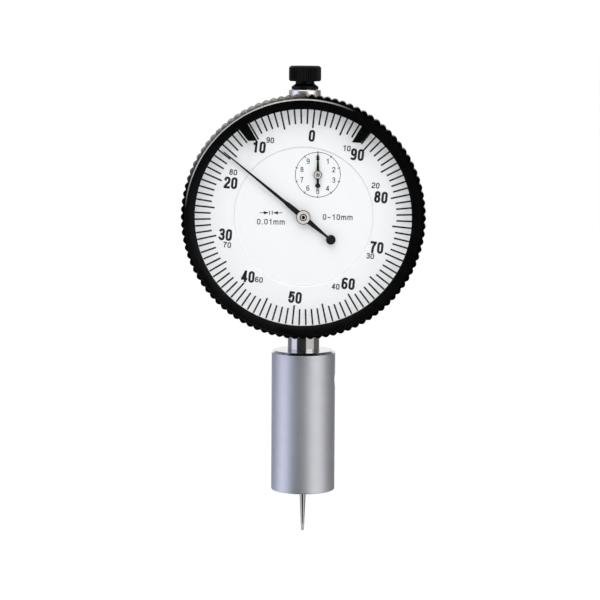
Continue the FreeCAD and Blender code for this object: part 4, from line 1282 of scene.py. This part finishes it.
# Radius where a card starts on the floor and where it turns up, its height and its lift
CARD_INNER = 0.004
CARD_RADIUS = 1.2
CARD_HEIGHT = 2.4
CARD_LIFT = 0.3 * MM

# Lamps: name, place, size, power and tone
LAMPS = (
    ("key", (-0.12, -0.6, 0.8), 0.8, 4.6, (1.0, 0.99, 0.97)),
    ("fill", (0.6, -0.6, 0.3), 0.7, 1.4, (0.97, 0.98, 1.0)),
)
LAMP_AIM = (0, 0, 0.05)

# Light that the world gives to matt surfaces; camera, gloss and glass see plain white instead
WORLD_TONE = (0.96, 0.98, 1.0)
WORLD_STRENGTH = 0.74

# Camera: direction and distance from the point that it looks at, its roll, its focal length in
# sensor widths and its sideways shift
CAMERA_ELEVATION = math.radians(6.65)
CAMERA_AZIMUTH = math.radians(1.1)
CAMERA_ROLL = math.radians(0.33)
CAMERA_AIM = (0, 0, 0.048)
CAMERA_DISTANCE = 0.6
CAMERA_LENS = 3.99
CAMERA_SHIFT = -0.0063
SENSOR_WIDTH = 36.0


def sweep_card(name, first, last, floor, steps=33):
    """Card swept about the upright axis from first to last degrees, 0 in front and 90 on the right.

    point(a, s) = (r(s) sin a, -r(s) cos a, h(s)): out along the floor, then straight up.
    """
    a = np.radians(np.linspace(first, last, steps))[None, :]
    radius = np.array([CARD_INNER, CARD_RADIUS, CARD_RADIUS])[:, None]
    height = np.array([floor, floor, CARD_HEIGHT])[:, None]
    points = np.stack(np.broadcast_arrays(radius * np.sin(a), -radius * np.cos(a), height), axis=-1)
    number = np.arange(3 * steps).reshape(3, steps)
    faces = np.stack([number[:-1, 1:], number[:-1, :-1], number[1:, :-1], number[1:, 1:]], axis=-1)
    return mesh_piece(name, points.reshape(-1, 3), [faces.reshape(-1, 4)])


def glow(name, tone, strength):
    """Material that only shines."""
    material = bpy.data.materials.new(name)
    tree = emptied(material)
    output = add_node(tree, "ShaderNodeOutputMaterial")
    emission = add_node(tree, "ShaderNodeEmission", Color=(*tone, 1), Strength=strength)
    tree.links.new(emission.outputs["Emission"], output.inputs["Surface"])
    return material


def send_mixed(tree, share, first, second, output):
    """Send an output the first shader where share is 0 and the second where it is 1."""
    mixer = add_node(tree, "ShaderNodeMixShader")
    tree.links.new(share, mixer.inputs["Fac"])
    tree.links.new(first.outputs[0], mixer.inputs[1])
    tree.links.new(second.outputs[0], mixer.inputs[2])
    tree.links.new(mixer.outputs["Shader"], output.inputs["Surface"])


def pale_floor():
    """Matt material that the camera sees mixed with plain white, so that a faint shadow stays."""
    material = bpy.data.materials.new("pale floor")
    tree = emptied(material)
    output = add_node(tree, "ShaderNodeOutputMaterial")
    matt = add_node(tree, "ShaderNodeBsdfDiffuse", Color=(*FLOOR_TONE, 1))
    white = add_node(tree, "ShaderNodeEmission", Strength=FLOOR_STRENGTH)
    path = add_node(tree, "ShaderNodeLightPath")
    amount = add_node(tree, "ShaderNodeMath", "MULTIPLY")
    amount.inputs[1].default_value = FLOOR_SHARE
    tree.links.new(path.outputs["Is Camera Ray"], amount.inputs[0])
    send_mixed(tree, amount.outputs["Value"], matt, white, output)
    return material


def studio_world():
    """World that is plain white to camera, gloss and glass, and soft light to the rest.

    The share of white is the largest of the three rays' values.
    """
    world = bpy.data.worlds.new("studio")
    tree = emptied(world)
    output = add_node(tree, "ShaderNodeOutputWorld")
    seen = add_node(tree, "ShaderNodeBackground", Color=(1, 1, 1, 1), Strength=1.0)
    light = add_node(tree, "ShaderNodeBackground", Color=(*WORLD_TONE, 1), Strength=WORLD_STRENGTH)
    path = add_node(tree, "ShaderNodeLightPath")
    share = path.outputs["Is Camera Ray"]
    for ray in ("Is Glossy Ray", "Is Transmission Ray"):
        either = add_node(tree, "ShaderNodeMath", "MAXIMUM")
        tree.links.new(share, either.inputs[0])
        tree.links.new(path.outputs[ray], either.inputs[1])
        share = either.outputs["Value"]
    send_mixed(tree, share, light, seen, output)
    return world


def seen_only_in_gloss(piece):
    """Hide a card from all but reflections."""
    piece.visible_camera = False
    piece.visible_diffuse = False
    piece.visible_transmission = False
    piece.visible_volume_scatter = False
    piece.visible_shadow = False


def soft_lamp(name, place, size, power, tone):
    """Square lamp that the camera doesn't see, turned to LAMP_AIM."""
    lamp = bpy.data.lights.new(name, "AREA")
    lamp.shape = "SQUARE"
    lamp.size = size
    lamp.energy = power
    lamp.color = tone
    item = bpy.data.objects.new(name, lamp)
    item.location = place
    item.rotation_euler = (Vector(LAMP_AIM) - Vector(place)).to_track_quat("-Z", "Y").to_euler()
    item.visible_camera = False
    bpy.context.scene.collection.objects.link(item)


def front_camera():
    """Camera in front of the dial and a little above it, rolled about its line of sight."""
    cosine = math.cos(CAMERA_ELEVATION)
    behind = Vector((
        math.sin(CAMERA_AZIMUTH) * cosine, -math.cos(CAMERA_AZIMUTH) * cosine, math.sin(CAMERA_ELEVATION)))
    place = Vector(CAMERA_AIM) + behind * CAMERA_DISTANCE / cosine
    level = Vector((0, 0, 1)).cross(behind).normalized()
    upward = behind.cross(level)
    right = level * math.cos(CAMERA_ROLL) + upward * math.sin(CAMERA_ROLL)
    upward = upward * math.cos(CAMERA_ROLL) - level * math.sin(CAMERA_ROLL)
    lens = bpy.data.cameras.new("camera")
    lens.sensor_width = SENSOR_WIDTH
    lens.lens = SENSOR_WIDTH * CAMERA_LENS / cosine
    lens.shift_x = CAMERA_SHIFT
    lens.clip_start = 0.01
    lens.clip_end = 100.0
    camera = bpy.data.objects.new("camera", lens)
    camera.matrix_world = Matrix.Translation(place) @ Matrix((right, upward, behind)).transposed().to_4x4()
    bpy.context.scene.collection.objects.link(camera)
    return camera


class GAUGE_OT_stage(GaugeOperator, bpy.types.Operator):
    """Pale floor, soft lamps, cards that give the metal its stripes, world and camera"""

    bl_idname = "gauge.stage"
    bl_label = "Studio"

    def execute(self, context):
        scene = context.scene
        needle_tip = CAD_BOX[0][2]
        corners = FLOOR_HALF * np.array([[-1, -1], [1, -1], [1, 1], [-1, 1]])
        points = np.column_stack([corners, np.full(4, needle_tip)])
        floor = mesh_piece("floor", points, [np.array([[0, 1, 2, 3]])])
        dress(floor, pale_floor())
        for name, first, last, tone, strength in CARDS:
            card = sweep_card(name, first, last, needle_tip + CARD_LIFT)
            dress(card, glow(name, tone, strength))
            seen_only_in_gloss(card)
        for lamp in LAMPS:
            soft_lamp(*lamp)
        scene.world = studio_world()
        scene.view_settings.view_transform = "Standard"
        scene.camera = front_camera()
        return {"FINISHED"}


class GAUGE_PT_panel(bpy.types.Panel):
    """Sizes, colours and steps of the dial depth gauge"""

    bl_label = "Dial Depth Gauge"
    bl_idname = "GAUGE_PT_panel"
    bl_space_type = "VIEW_3D"
    bl_region_type = "UI"
    bl_category = "Gauge"

    def draw(self, context):
        for settings in (context.scene.gauge_sizes, context.scene.gauge_colours):
            for name in settings.__annotations__:
                self.layout.prop(settings, name)
        for step in STEPS:
            self.layout.operator(step.bl_idname)


STEPS = (
    GAUGE_OT_base,
    GAUGE_OT_stem,
    GAUGE_OT_spindle,
    GAUGE_OT_case,
    GAUGE_OT_bezel,
    GAUGE_OT_scale,
    GAUGE_OT_dial,
    GAUGE_OT_hands,
    GAUGE_OT_movement,
    GAUGE_OT_stage,
)


def register():
    """Register the classes and hang the settings on the scene."""
    for group in (GaugeSizes, GaugeColours, *STEPS, GAUGE_PT_panel):
        bpy.utils.register_class(group)
    bpy.types.Scene.gauge_sizes = bpy.props.PointerProperty(type=GaugeSizes)
    bpy.types.Scene.gauge_colours = bpy.props.PointerProperty(type=GaugeColours)


def unregister():
    """Undo register in the opposite order."""
    del bpy.types.Scene.gauge_colours
    del bpy.types.Scene.gauge_sizes
    for group in (GAUGE_PT_panel, *reversed(STEPS), GaugeColours, GaugeSizes):
        bpy.utils.unregister_class(group)


def main():
    """Build the whole scene."""
    register()
    bpy.ops.gauge.base()
    bpy.ops.gauge.stem()
    bpy.ops.gauge.spindle()
    bpy.ops.gauge.case()
    bpy.ops.gauge.bezel()
    bpy.ops.gauge.scale()
    bpy.ops.gauge.dial()
    bpy.ops.gauge.hands()
    bpy.ops.gauge.movement()
    bpy.ops.gauge.stage()


if __name__ == "__main__":
    main()
